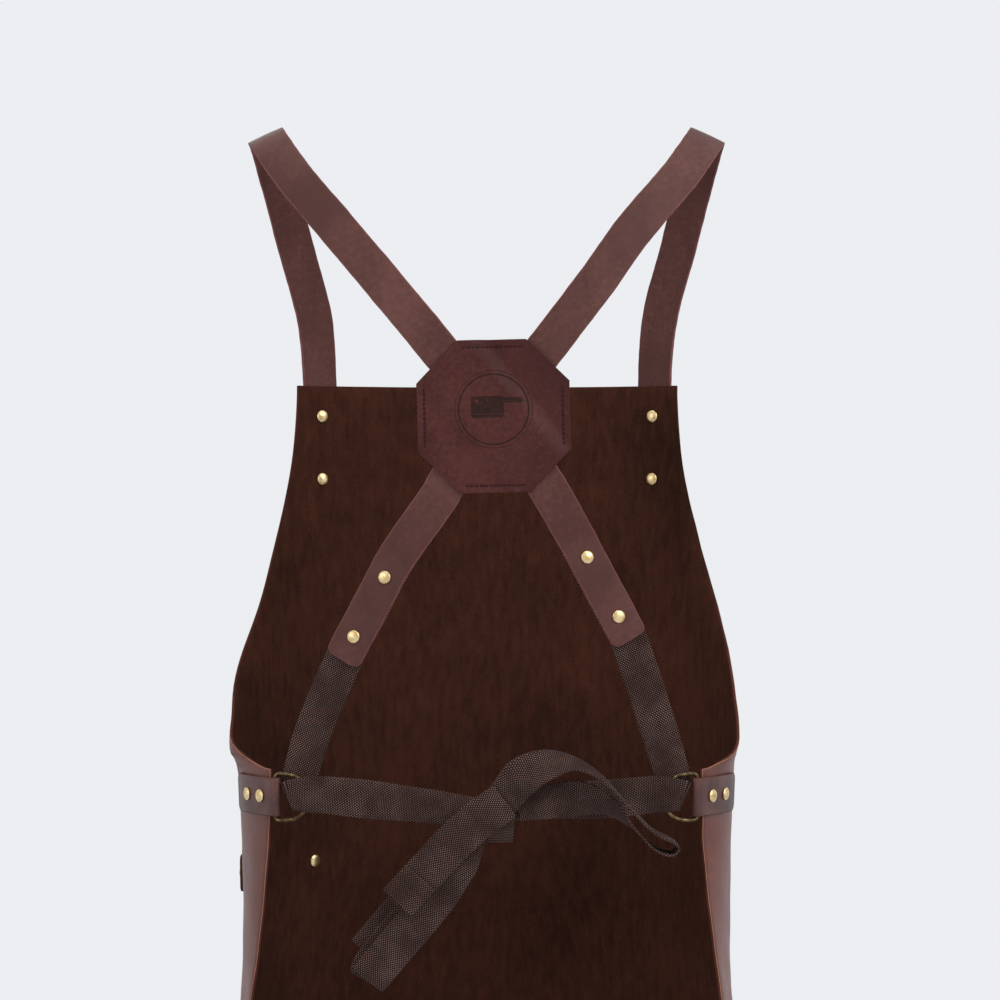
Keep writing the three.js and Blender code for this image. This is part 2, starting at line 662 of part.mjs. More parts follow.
const LOOP_RIGHT = [
  step([-3, 9, 13.5], [0, 1, 0], 11),
  step([-12.5, 12, 25], [-0.1, 0.95, 0.3]),
  step([-28.5, 14, 33], [-0.1, 0.7, 0.7]),
  step([-45.5, 13, 34], [-0.25, 0.25, 0.95]),
  step([-62.5, 11, 25], [-0.6, 0.05, 0.8]),
  step([-79.5, 9, 7], [-0.7, 0, 0.7]),
  step([-96.5, 7, -10], [-0.65, 0, 0.75]),
  step([-108, 6, -16], [-0.5, 0, 0.85]),
  step([-112, 6, -20], [-1, 0, -0.1]),
  step([-108.5, 6, -24], [-0.3, 0, -0.95]),
  step([-97.5, 6, -21], [0.5, 0, -0.85]),
  step([-82.5, 7, -7], [0.75, 0.1, -0.65]),
  step([-67.5, 7, 6], [0.5, 0.5, -0.7]),
  step([-49.5, 6.5, 11], [0.1, 0.9, -0.4]),
  step([-29.5, 5.5, 9], [0, 1, 0], 11),
  step([-10, 4, 5], [0, 1, 0], WEB_WIDTH / 2 - GATHER),
];
const LOOP_LEFT = [
  step([15.5, 3, -13], [0, 1, 0], 6),
  step([27, 6, -32], [0.1, 1, 0], 11),
  step([43.5, 6.5, -54], [0, 1, 0]),
  step([62.5, 6, -77], [0, 1, 0]),
  step([78.5, 4.5, -96], [0, 1, -0.1]),
  step([86.5, 1.5, -105.5], [0.6, 0, -0.8]),
  step([79.5, -1.5, -97], [0, -1, 0.1]),
  step([60.5, -2, -75], [0, -1, 0]),
  step([38.5, -2, -48], [0, -1, 0]),
  step([20.5, -2.5, -24], [0, -1, 0], 7),
];
const TAIL_UPPER = [
  step([2.5, 9.5, 8], [0, 1, 0], 11),
  step([12.5, 10.5, 0], [0, 1, 0]),
  step([28.5, 11.5, -14], [0, 1, 0.1]),
  step([46.5, 11.5, -33], [0, 1, 0.05]),
  step([66, 11, -54], [0, 1, 0]),
];
const TAIL_LOWER = [
  step([24.5, -7, -24], [0, 1, 0], 7),
  step([42.5, -6.5, -40], [0, 1, 0]),
  step([65.5, -6, -61], [0, 1, 0]),
  step([90.5, -6, -83], [0, 1, 0]),
];

function knotGeometry() {
  const [wide, deep, tall] = KNOT.size;
  const round = 4;
  const outline = new THREE.Shape();
  const [x, z, r] = [wide / 2 - round, tall / 2 - round, 3];
  outline.moveTo(-x, -z + r);
  outline.lineTo(-x, z - r);
  outline.quadraticCurveTo(-x, z, -x + r, z);
  outline.lineTo(x - r, z);
  outline.quadraticCurveTo(x, z, x, z - r);
  outline.lineTo(x, -z + r);
  outline.quadraticCurveTo(x, -z, x - r, -z);
  outline.lineTo(-x + r, -z);
  outline.quadraticCurveTo(-x, -z, -x, -z + r);
  const depth = deep - 2 * round;
  const bevel = { bevelThickness: round, bevelSize: round, bevelSegments: 3 };
  const geometry = new THREE.ExtrudeGeometry(outline, { depth, curveSegments: 3, ...bevel });
  geometry.translate(0, 0, -depth / 2);
  geometry.rotateX(Math.PI / 2);
  return geometry.translate(...KNOT.at);
}

// ---- Rivets -----------------------------------------------------------------------------------

/** A double-cap rivet through `stack` of material, centred on its middle, along +Y. */
function rivetGeometry(stack) {
  const seat = stack / 2 + GAP;
  const half = [
    [POST_RADIUS, seat],
    [CAP_RADIUS, seat],
    [CAP_RADIUS, seat + 0.45],
    [CAP_RADIUS * 0.62, seat + CAP_RISE * 0.88],
    [0, seat + CAP_RISE],
  ];
  const lower = half.map(([radius, up]) => [radius, -up]).reverse();
  const profile = [...lower, ...half].map(([radius, up]) => new THREE.Vector2(radius, up));
  return new THREE.LatheGeometry(profile, 10);
}

// ---- Assembly ---------------------------------------------------------------------------------

const finish = (color, roughness, metalness = 0) =>
  new THREE.MeshStandardMaterial({ color, roughness, metalness });
const PANEL_LEATHER = finish(0x74433a, 0.55);
const STRAP_LEATHER = finish(0x5c3b38, 0.5);
const PATCH_FINISH = finish(0x582d2f, 0.5);
const TAB_FINISH = finish(0x573a37, 0.5);
const WEBBING = finish(0x41342f, 0.9);
const BRASS = finish(0xb79a61, 0.35, 1);
const RING_BRASS = finish(0x75653f, 0.4, 1);
const THREAD_FINISH = finish(0x3b1a1e, 0.8);

const apron = new THREE.Group();
apron.name = 'butcher_apron';

function add(name, geometry, material) {
  const mesh = new THREE.Mesh(geometry, material);
  mesh.name = name;
  apron.add(mesh);
  return mesh;
}

function addRivet(name, frame, stack) {
  const mesh = add(name, rivetGeometry(stack), BRASS);
  mesh.applyMatrix4(placed(frame));
}

const SIDES = [['left', 1], ['right', -1]];
const panelHoles = [];

for (const [word, side] of SIDES) {
  // The strap on this shoulder, and the rivets at both its ends. Its low end is on the other side.
  const strap = strapBand(side);
  const lowWord = side > 0 ? 'right' : 'left';
  const backFrames = STRAP_RIVETS.map((from) => strap.frame(strap.length - from));
  const bibFrames = BIB_RIVETS.map((from) => strap.frame(from));
  add(`shoulder_strap_${word}`, bored(strap.geometry(), [...backFrames, ...bibFrames]), STRAP_LEATHER);
  panelHoles.push(...bibFrames);

  const bibStack = STRAP_THICK + GAP + LEATHER;
  bibFrames.forEach((frame, i) => {
    const inward = (STRAP_THICK - bibStack) / 2;
    const at = frame.at.clone().addScaledVector(frame.out, inward);
    addRivet(`front_rivet_${word}_${i + 1}`, { at, out: frame.out }, bibStack);
  });

  const run = runBand(-side, strap);
  add(`tie_run_${lowWord}`, bored(run.geometry(), backFrames), WEBBING);
  const backStack = STRAP_THICK + LAP_ROOM + WEB_THICK;
  backFrames.forEach((frame, i) => {
    const inward = (STRAP_THICK - backStack) / 2;
    const at = frame.at.clone().addScaledVector(frame.out, inward);
    addRivet(`back_rivet_${lowWord}_${i + 1}`, { at, out: frame.out }, backStack);
  });

  // The D-ring and its tab.
  const tab = tabBand(side);
  const tabFrames = TAB_RIVETS.map((from) => panelFrame(side * (SKIRT_HALF - from), RING_LEVEL));
  add(`ring_tab_${word}`, bored(tab.geometry(), tabFrames), TAB_FINISH);
  add(`d_ring_${word}`, ringGeometry(side), RING_BRASS);
  panelHoles.push(...tabFrames);
  const tabStack = LEATHER + 2 * GAP + 2 * TAB_LEATHER;
  tabFrames.forEach((frame, i) => addRivet(`tab_rivet_${word}_${i + 1}`, frame, tabStack));
}

// The towel loop.
const loopKeys = [0, 0.09, 0.18, 0.3, 0.5, 0.7, 0.82, 0.91, 1].map((part) => {
  const frame = panelFrame(LOOP_START + (LOOP_END - LOOP_START) * part, LOOP_LEVEL);
  const flat = LEATHER / 2 + LOOP_ROOM + LOOP_LEATHER / 2;
  const stand = ease(Math.min(part, 1 - part), 0.16, 0.4);
  const off = flat + (LOOP_STAND - flat) * stand;
  return { at: frame.at.clone().addScaledVector(frame.out, off), out: frame.out };
});
const loop = new Band(loopKeys, { width: LOOP_WIDTH, thick: LOOP_LEATHER, corner: LOOP_CORNER });
const loopFrames = [LOOP_START + LOOP_RIVET_INSET, LOOP_END - LOOP_RIVET_INSET].map((s) =>
  panelFrame(s, LOOP_LEVEL),
);
add('towel_loop', bored(loop.geometry(), loopFrames), TAB_FINISH);
panelHoles.push(...loopFrames);
const loopStack = LEATHER + LOOP_ROOM + LOOP_LEATHER;
loopFrames.forEach((frame, i) => {
  const at = frame.at.clone().addScaledVector(frame.out, (loopStack - LEATHER) / 2);
  addRivet(`loop_rivet_${i + 1}`, { at, out: frame.out }, loopStack);
});

add('apron_panel', panelGeometry(panelHoles), PANEL_LEATHER);

// The patch.
add('back_patch_outer', leafGeometry(1), PATCH_FINISH);
add('back_patch_inner', leafGeometry(-1), PATCH_FINISH);
['top', 'left', 'bottom', 'right'].forEach((word, i) => {
  // A quarter turn from the top leads to +X, the wearer's left, then to the bottom.
  add(`patch_stitch_${word}`, stitchBand((-i * Math.PI) / 2).geometry(), THREAD_FINISH);
});

// The bow.
add('tie_knot', knotGeometry(), WEBBING);
const bow = { tie_loop_right: LOOP_RIGHT, tie_loop_left: LOOP_LEFT };
Object.assign(bow, { tie_tail_upper: TAIL_UPPER, tie_tail_lower: TAIL_LOWER });
for (const [name, keys] of Object.entries(bow)) {
  add(name, new Band(keys, { width: WEB_WIDTH, thick: WEB_THICK }).geometry(), WEBBING);
}

export default apron;
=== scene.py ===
"""The looks of a leather butcher apron with a cross-back harness, hung as on its wearer.

Lengths in the classes are millimetres, as on the maker's pattern, and meshes are made in metres.
The wearer faces -Y, the wearer's left is +X, and the origin lies midway between the places
where the straps rest on the shoulders.
"""

import logging
import math
from dataclasses import dataclass, field
from enum import Enum
from typing import Callable, Sequence

import bmesh
import bpy
import numpy as np
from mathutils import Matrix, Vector


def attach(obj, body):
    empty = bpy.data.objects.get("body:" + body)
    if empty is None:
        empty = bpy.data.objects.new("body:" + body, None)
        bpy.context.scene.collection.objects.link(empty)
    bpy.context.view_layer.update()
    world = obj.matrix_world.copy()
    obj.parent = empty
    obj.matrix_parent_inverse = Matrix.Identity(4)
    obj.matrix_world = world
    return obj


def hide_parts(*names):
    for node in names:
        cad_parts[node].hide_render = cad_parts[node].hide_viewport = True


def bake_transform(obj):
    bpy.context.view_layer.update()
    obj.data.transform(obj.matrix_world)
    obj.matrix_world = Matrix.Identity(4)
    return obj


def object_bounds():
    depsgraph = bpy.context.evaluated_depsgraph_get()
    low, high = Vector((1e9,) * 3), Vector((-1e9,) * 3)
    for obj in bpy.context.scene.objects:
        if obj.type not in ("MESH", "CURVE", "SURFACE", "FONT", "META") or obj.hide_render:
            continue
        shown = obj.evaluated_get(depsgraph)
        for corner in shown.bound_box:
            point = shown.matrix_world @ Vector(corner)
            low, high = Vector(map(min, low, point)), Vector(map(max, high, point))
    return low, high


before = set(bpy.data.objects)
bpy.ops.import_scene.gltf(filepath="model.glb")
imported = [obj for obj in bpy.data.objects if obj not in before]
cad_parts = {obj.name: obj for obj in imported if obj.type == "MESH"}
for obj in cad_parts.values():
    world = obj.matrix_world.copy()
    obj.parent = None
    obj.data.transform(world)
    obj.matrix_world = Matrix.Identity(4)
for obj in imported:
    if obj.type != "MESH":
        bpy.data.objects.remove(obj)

CAD_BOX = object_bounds()
MM = 0.001
APRON = "apron"
TINY = 1e-6
COAT_ROUGHNESS = 0.35
FLOOR_SIDES = 96
UNSET = (0.0, 0.0, 0.0, 1.0)
log = logging.getLogger("butcher_apron")


class Side(Enum):
    """The wearer's left or right, with its sign along X."""

    LEFT = 1
    RIGHT = -1

    @property
    def word(self) -> str:
        """The side's name in lower case."""
        return self.name.lower()

    @property
    def other(self) -> "Side":
        """The opposite side."""
        return Side(-self.value)


# ---- Curves and small maths ----------------------------------------------------------------


def smooth(value: float, low: float, high: float) -> float:
    """Ease from 0 at one value to 1 at another.

    Args:
        value: The number, or array of numbers, to ease.
        low: Where the result is 0.
        high: Where the result is 1.

    Returns:
        The eased number or array.
    """
    part = np.clip((value - low) / (high - low), 0.0, 1.0)
    return part * part * (3.0 - 2.0 * part)


def within(value: float, low: float, high: float, soft: float) -> float:
    """Tell how far a value lies between two limits, falling off over `soft` outside them.

    Args:
        value: The number or array to test.
        low: The lower limit.
        high: The upper limit.
        soft: The width of the fall outside each limit.

    Returns:
        1 between the limits and 0 well outside them.
    """
    return smooth(value, low - soft, low) * (1.0 - smooth(value, high, high + soft))


class Route:
    """A centripetal Catmull-Rom curve through a list of points."""

    def __init__(self, points: Sequence[Vector]) -> None:
        """Take the points that the curve passes through."""
        self.points = [Vector(point) for point in points]

    def _span(self, u: float) -> tuple[list[Vector], list[float], float]:
        """Find the four points and knot steps round a place on the curve.

        Args:
            u: The place, 0 at the start and 1 at the end.

        Returns:
            The four points, the three knot steps and the part of the middle span.
        """
        points = self.points
        last = len(points) - 1
        place = min(max(u, 0.0), 1.0) * last
        k = min(int(place), last - 1)
        before = points[k - 1] if k > 0 else points[0] * 2 - points[1]
        after = points[k + 2] if k + 2 <= last else points[last] * 2 - points[last - 1]
        four = [before, points[k], points[k + 1], after]
        steps = [(four[i + 1] - four[i]).length ** 0.5 for i in range(3)]
        if steps[1] < 1e-4:
            steps[1] = 1.0
        steps[0] = steps[1] if steps[0] < 1e-4 else steps[0]
        steps[2] = steps[1] if steps[2] < 1e-4 else steps[2]
        return four, steps, place - k

    def at(self, u: float) -> tuple[Vector, Vector]:
        """Give the point and its direction of change.

        Args:
            u: The place, 0 at the start and 1 at the end.

        Returns:
            The point and the unscaled tangent.
        """
        (a, b, c, d), (d0, d1, d2), w = self._span(u)
        t1 = ((b - a) / d0 - (c - a) / (d0 + d1) + (c - b) / d1) * d1
        t2 = ((c - b) / d1 - (d - b) / (d1 + d2) + (d - c) / d2) * d1
        c2 = (c - b) * 3 - t1 * 2 - t2
        c3 = (b - c) * 2 + t1 + t2
        return b + t1 * w + c2 * w * w + c3 * w ** 3, t1 + c2 * (2 * w) + c3 * (3 * w * w)


@dataclass
class Key:
    """A point of a band's middle line, the way its outer face looks there, and its half width."""

    at: Vector
    out: Vector
    half: float | None = None


@dataclass
class Place:
    """A spot on a band or the panel, with its directions."""

    at: Vector
    out: Vector
    run: Vector = field(default_factory=Vector)
    across: Vector = field(default_factory=Vector)
    half: float = 0.0

    def moved(self, offset: float) -> "Place":
        """Give this place moved outwards by an offset."""
        return Place(self.at + self.out * offset, self.out, self.run, self.across, self.half)


Shape = Callable[[float, float, float], tuple[float, float]]


# ---- Meshes --------------------------------------------------------------------------------


def finished(name: str, points: Sequence, faces: Sequence, slots: Sequence[int],
             materials: Sequence[bpy.types.Material], uvs: Sequence | None = None,
             sharp: float = 55.0) -> bpy.types.Object:
    """Make an object from points and faces, turned so that its faces look outwards.

    Args:
        name: The object's name.
        points: The points, in millimetres.
        faces: The corner numbers of each face.
        slots: The material slot of each face.
        materials: The materials, in slot order.
        uvs: A pair for each corner of each face, in metres, or nothing.
        sharp: The angle in degrees past which an edge is shown sharp.

    Returns:
        The object, linked to the scene.
    """
    mesh = bpy.data.meshes.new(name)
    scaled = (np.asarray(points, dtype=float) * MM).tolist()
    mesh.from_pydata(scaled, [], faces)
    mesh.polygons.foreach_set("material_index", list(slots))
    if uvs is not None:
        layer = mesh.uv_layers.new(name="cloth")
        layer.data.foreach_set("uv", np.asarray(uvs, dtype=float).ravel())
    shell = bmesh.new()
    shell.from_mesh(mesh)
    if shell.calc_volume(signed=True) < 0:
        bmesh.ops.reverse_faces(shell, faces=shell.faces)
    shell.to_mesh(mesh)
    shell.free()
    mesh.polygons.foreach_set("use_smooth", [True] * len(mesh.polygons))
    mesh.set_sharp_from_angle(angle=math.radians(sharp))
    for material in materials:
        mesh.materials.append(material)
    piece = bpy.data.objects.new(name, mesh)
    bpy.context.scene.collection.objects.link(piece)
    return piece


def mount(piece: bpy.types.Object, body: str | None,
          nodes: Sequence[str]) -> bpy.types.Object:
    """Let a piece ride on a body and hide the plain solids it stands for.

    Args:
        piece: The finished piece.
        body: The body that it moves with, or nothing for a piece that spans two bodies, which is
            left unattached.
        nodes: The plain solids that it replaces.

    Returns:
        The piece.
    """
    if body:
        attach(piece, body)
    if nodes:
        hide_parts(*nodes)
    count = len(piece.data.polygons)
    log.info("%s: %d faces, rides on %s", piece.name, count, body or "two bodies")
    return piece


def sheet_piece(name: str, middle: np.ndarray, normal: np.ndarray, thick: float,
                materials: Sequence[bpy.types.Material], rim: float = 0.35) -> bpy.types.Object:
    """Make a closed sheet from a grid of middle points, with a rounded rim.

    Args:
        name: The object's name.
        middle: The middle points as rows x columns x 3.
        normal: The outward normals, of the same shape.
        thick: The sheet's thickness.
        materials: The outer face's material, the inner face's, the arris's and the rim's.
        rim: How far the rim swells past the faces' edges.

    Returns:
        The object.
    """
    rows, columns = middle.shape[:2]
    count = rows * columns
    points = [middle + normal * (thick / 2), middle - normal * (thick / 2)]
    number = np.arange(count).reshape(rows, columns)
    ring = np.concatenate([number[0, :], number[1:, -1], number[-1, -2::-1], number[-2:0:-1, 0]])
    inner_ring = np.concatenate([
        number[1, :], number[1:, -2], number[-2, -2::-1], number[-2:0:-1, 1]])
    flat_middle = middle.reshape(-1, 3)
    flat_normal = normal.reshape(-1, 3)
    past = flat_middle[ring] - flat_middle[inner_ring]
    size = np.linalg.norm(past, axis=1, keepdims=True)
    past = past / np.where(size < TINY, 1.0, size)
    along = flat_normal[ring]
    loops = [flat_middle[ring] + along * (thick * part) + past * (rim * swell)
             for part, swell in ((0.36, 0.8), (-0.36, 0.8))]
    all_points = np.concatenate([points[0].reshape(-1, 3), points[1].reshape(-1, 3), *loops])
    faces = []
    slots = []
    quads = np.stack([number[:-1, :-1], number[:-1, 1:], number[1:, 1:], number[1:, :-1]], -1)
    for quad in quads.reshape(-1, 4).tolist():
        faces.append(quad)
        slots.append(0)
        faces.append([corner + count for corner in reversed(quad)])
        slots.append(1)
    total = len(ring)
    first = 2 * count
    bands = [ring, np.arange(total) + first, np.arange(total) + first + total, ring + count]
    for band, slot in zip(range(3), (2, 3, 3)):
        top, low = bands[band], bands[band + 1]
        for k in range(total):
            n = (k + 1) % total
            faces.append([int(top[k]), int(low[k]), int(low[n]), int(top[n])])
            slots.append(slot)
    return finished(name, all_points, faces, slots, materials, sharp=70.0)


class Band:
    """A flat band along a smooth route, such as a strap, webbing, tab or loop."""

    END_STEPS = (0.02, 0.08, 0.18, 0.32, 0.5, 0.72, 1.0)

    def __init__(self, keys: Sequence[Key], width: float, thick: float, corner: float = 0.0,
                 measure: int = 4) -> None:
        """Take the route's keys and the band's section.

        Args:
            keys: The middle line's points with their facings and half widths.
            width: The band's width.
            thick: The band's thickness.
            corner: The rounding of its two ends.
            measure: How many chords of each span its length is measured by.
        """
        self.width = width
        self.thick = thick
        self.corner = corner
        self.route = Route([key.at for key in keys])
        self.facing = Route([key.out for key in keys])
        self.halves = [width / 2 if key.half is None else key.half for key in keys]
        spans = len(keys) - 1
        self.us = [i / (measure * spans) for i in range(measure * spans + 1)]
        self.alongs = [0.0]
        for before, after in zip(self.us, self.us[1:]):
            chord = (self.route.at(after)[0] - self.route.at(before)[0]).length
            self.alongs.append(self.alongs[-1] + chord)
        self.length = self.alongs[-1]

    def place(self, along: float) -> Place:
        """Give the middle line's place at a distance from the start."""
        u = float(np.interp(along, self.alongs, self.us))
        at, tangent = self.route.at(u)
        run = tangent.normalized()
        across = run.cross(self.facing.at(u)[0]).normalized()
        spot = u * (len(self.halves) - 1)
        k = min(int(spot), len(self.halves) - 2)
        blend = smooth(spot - k, 0.0, 1.0)
        half = self.halves[k] * (1 - blend) + self.halves[k + 1] * blend
        return Place(at, across.cross(run).normalized(), run, across, float(half))

    def _stations(self, pitch: float) -> list[float]:
        """Choose where the band's sections lie, closer together at its rounded ends.

        Args:
            pitch: The usual distance between two sections.

        Returns:
            The distances from the start, in order.
        """
        near = [part * self.corner for part in self.END_STEPS] if self.corner else [0.3]
        low, high = near[-1], self.length - near[-1]
        count = max(int((high - low) / pitch), 2)
        inner = [low + (high - low) * i / count for i in range(1, count)]
        ends = [0.0, *near, *[self.length - value for value in reversed(near)], self.length]
        return sorted({*ends, *inner})

    def _profile(self, side: float, edge: float, columns: int) -> list[tuple[float, float, int]]:
        """Draw the band's section with rounded edges.

        Args:
            side: Half the width here.
            edge: The radius of the section's four corners.
            columns: How many faces wide each flat side is.

        Returns:
            Points across and outwards, each with 0 on a flat side or 1 on an edge.
        """
        half = self.thick / 2
        edge = min(edge, half - 0.05)
        flat = side - edge
        points = []
        for face in (1, -1):
            for k in range(columns + 1):
                points.append((face * flat * (2 * k / columns - 1), face * half, int(k == columns)))
            for turn, lift in ((30, 1), (60, 1), (90, 1), (90, -1), (120, -1), (150, -1)):
                x = flat + edge * math.sin(math.radians(turn))
                y = lift * (half - edge) + edge * math.cos(math.radians(turn))
                points.append((face * x, face * y, 1))
        return points

    def piece(self, name: str, materials: Sequence[bpy.types.Material], pitch: float = 2.0,
              edge: float = 0.6, columns: int = 8, shape: Shape | None = None) -> bpy.types.Object:
        """Build the band's mesh.

        Args:
            name: The object's name.
            materials: The face's material and the edge's.
            pitch: The distance between sections.
            edge: The radius of the section's corners.
            columns: How many faces wide each flat side is.
            shape: Gives a shift across and outwards for a distance along and a section point.

        Returns:
            The object, with a "cloth" UV map of distance along and round the section.
        """
        stations = self._stations(pitch)
        rows = []
        for along in stations:
            place = self.place(along)
            inside = max(self.corner - min(along, self.length - along), 0.0)
            cut = self.corner - math.sqrt(max(self.corner ** 2 - inside ** 2, 0.0))
            profile = self._profile(place.half - cut, edge, columns)
            points = []
            for x, y, _ in profile:
                dx, dy = shape(along, x, y) if shape else (0.0, 0.0)
                points.append(place.at + place.across * (x + dx) + place.out * (y + dy))
            rows.append(points)
        kinds = [kind for _, _, kind in profile]
        ring = self._profile(self.width / 2, edge, columns)
        rounds = [0.0]
        for (x0, y0, _), (x1, y1, _) in zip(ring, [*ring[1:], ring[0]]):
            rounds.append(rounds[-1] + math.hypot(x1 - x0, y1 - y0))
        count = len(kinds)
        faces, slots, uvs = [], [], []
        for i in range(len(rows) - 1):
            for j in range(count):
                n = (j + 1) % count
                here, after = i * count, (i + 1) * count
                faces.append([here + j, after + j, after + n, here + n])
                slots.append(1 if kinds[j] else 0)
                u0, u1 = stations[i] * MM, stations[i + 1] * MM
                v0, v1 = rounds[j] * MM, rounds[j + 1] * MM
                uvs.extend([(u0, v0), (u1, v0), (u1, v1), (u0, v1)])
        last = (len(rows) - 1) * count
        far_cap = [*range(last + count - 1, last - 1, -1)]
        for cap, u in (([*range(count)], 0.0), (far_cap, self.length)):
            faces.append(cap)
            slots.append(1)
            uvs.extend([(u * MM, rounds[corner % count] * MM) for corner in cap])
        points = [tuple(point) for row in rows for point in row]
        return finished(name, points, faces, slots, materials, uvs)


# ---- Node trees ----------------------------------------------------------------------------


class Amount:
    """A socket that holds a number, with Python's operators as Math nodes."""

    def __init__(self, recipe: "Recipe", socket: bpy.types.NodeSocket) -> None:
        """Take the recipe that nodes are added to and the socket."""
        self.recipe = recipe
        self.socket = socket

    def math(self, operation: str, *values: object) -> "Amount":
        """Run one Math node on this amount.

        Args:
            operation: The Math node's operation.
            values: The amounts or numbers that follow this one.

        Returns:
            The result.
        """
        inputs = dict(enumerate([self, *values]))
        node = self.recipe.node("ShaderNodeMath", {"operation": operation}, inputs)
        return Amount(self.recipe, node.outputs[0])

    def __add__(self, other: object) -> "Amount":
        """Add."""
        return self.math("ADD", other)

    __radd__ = __add__

    def __sub__(self, other: object) -> "Amount":
        """Subtract."""
        return self.math("SUBTRACT", other)

    def __rsub__(self, other: float) -> "Amount":
        """Subtract from a number."""
        node = self.recipe.node("ShaderNodeMath", {"operation": "SUBTRACT"}, {0: other, 1: self})
        return Amount(self.recipe, node.outputs[0])

    def __mul__(self, other: object) -> "Amount":
        """Multiply."""
        return self.math("MULTIPLY", other)

    __rmul__ = __mul__

    def __truediv__(self, other: object) -> "Amount":
        """Divide."""
        return self.math("DIVIDE", other)

    def __abs__(self) -> "Amount":
        """Drop the sign."""
        return self.math("ABSOLUTE")

    def floor(self) -> "Amount":
        """Give the whole number below."""
        return self.math("FLOOR")

    def most(self, other: object) -> "Amount":
        """Give the greater of two."""
        return self.math("MAXIMUM", other)

    def rise(self, low: float, high: float) -> "Amount":
        """Ease from 0 at `low` to 1 at `high`."""
        settings = {"interpolation_type": "SMOOTHSTEP"}
        inputs = {"Value": self, "From Min": low, "From Max": high}
        node = self.recipe.node("ShaderNodeMapRange", settings, inputs)
        return Amount(self.recipe, node.outputs[0])


class Recipe:
    """Adds nodes to a material's or a Geometry Nodes tree."""

    def __init__(self, tree: bpy.types.NodeTree) -> None:
        """Take the tree."""
        self.tree = tree

    def node(self, kind: str, settings: dict | None = None,
             inputs: dict | None = None) -> bpy.types.Node:
        """Add a node.

        Args:
            kind: The node's type.
            settings: Its properties, set first.
            inputs: Values, sockets or amounts by socket name or number.

        Returns:
            The node.
        """
        node = self.tree.nodes.new(kind)
        for name, value in (settings or {}).items():
            setattr(node, name, value)
        for name, value in (inputs or {}).items():
            socket = node.inputs[name]
            value = value.socket if isinstance(value, Amount) else value
            if isinstance(value, bpy.types.NodeSocket):
                self.tree.links.new(value, socket)
            else:
                socket.default_value = value
        return node

    def noise(self, coords: bpy.types.NodeSocket, scale: float, detail: float = 3.0,
              roughness: float = 0.5, distortion: float = 0.0) -> Amount:
        """Add a noise texture of about the range 0 to 1."""
        inputs = {"Vector": coords, "Scale": scale, "Detail": detail}
        inputs |= {"Roughness": roughness, "Distortion": distortion}
        return Amount(self, self.node("ShaderNodeTexNoise", {}, inputs).outputs[0])

    def cells(self, coords: bpy.types.NodeSocket, scale: float) -> Amount:
        """Add the distance to the nearest cell centre of a Voronoi texture."""
        inputs = {"Vector": coords, "Scale": scale}
        return Amount(self, self.node("ShaderNodeTexVoronoi", {}, inputs).outputs[0])

    def stretched(self, coords: bpy.types.NodeSocket, scale: tuple) -> bpy.types.NodeSocket:
        """Scale a pattern differently along each axis."""
        return self.node("ShaderNodeMapping", {}, {"Vector": coords, "Scale": scale}).outputs[0]

    def parts(self, coords: bpy.types.NodeSocket) -> tuple[Amount, Amount, Amount]:
        """Split coordinates into their three numbers."""
        node = self.node("ShaderNodeSeparateXYZ", {}, {0: coords})
        return tuple(Amount(self, socket) for socket in node.outputs)

    def mix(self, factor: Amount, first: object, second: object) -> bpy.types.NodeSocket:
        """Mix two colours.

        Args:
            factor: 0 for the first colour and 1 for the second.
            first: A colour or a socket.
            second: A colour or a socket.

        Returns:
            The mixed colour.
        """
        settings = {"data_type": "RGBA", "clamp_factor": True}
        return self.node("ShaderNodeMix", settings, {0: factor, 6: first, 7: second}).outputs[2]


Colour = tuple[float, float, float, float]


def paint(red: int, green: int, blue: int) -> Colour:
    """Turn a colour of 0 to 255 as seen into the linear colour that light works with."""
    def linear(value: float) -> float:
        """Undo the screen's curve for one channel."""
        return value / 12.92 if value <= 0.04045 else ((value + 0.055) / 1.055) ** 2.4
    return tuple(linear(value / 255) for value in (red, green, blue)) + (1.0,)


# ---- Finishes ------------------------------------------------------------------------------


@dataclass(frozen=True)
class Finish:
    """A material, with what all of this apron's finishes share."""

    name: str
    roughness: float = 0.5
    coat: float = 0.0
    metallic: float = 0.0
    specular: float = 0.5

    def begin(self) -> tuple[bpy.types.Material, Recipe, bpy.types.Node]:
        """Start the material.

        Returns:
            The material, its recipe and its shader node.
        """
        material = bpy.data.materials.new(self.name)
        material.use_nodes = True
        recipe = Recipe(material.node_tree)
        shader = material.node_tree.nodes["Principled BSDF"]
        shader.inputs["Roughness"].default_value = self.roughness
        shader.inputs["Metallic"].default_value = self.metallic
        shader.inputs["Specular IOR Level"].default_value = self.specular
        shader.inputs["Coat Weight"].default_value = self.coat
        shader.inputs["Coat Roughness"].default_value = COAT_ROUGHNESS
        return material, recipe, shader

    @staticmethod
    def dress(recipe: Recipe, shader: bpy.types.Node, colour: object, roughness: Amount | None,
              height: Amount, depth: float) -> None:
        """Link a colour, a roughness and a height to the shader.

        Args:
            recipe: The material's recipe.
            shader: The shader node.
            colour: The colour socket.
            roughness: The roughness, or nothing to keep the constant.
            height: The surface's height, from 0 to 1.
            depth: How deep that height is, in metres.
        """
        recipe.tree.links.new(colour, shader.inputs["Base Color"])
        if roughness is not None:
            recipe.tree.links.new(roughness.socket, shader.inputs["Roughness"])
        inputs = {"Strength": 1.0, "Distance": depth, "Height": height}
        bump = recipe.node("ShaderNodeBump", {}, inputs)
        recipe.tree.links.new(bump.outputs[0], shader.inputs["Normal"])


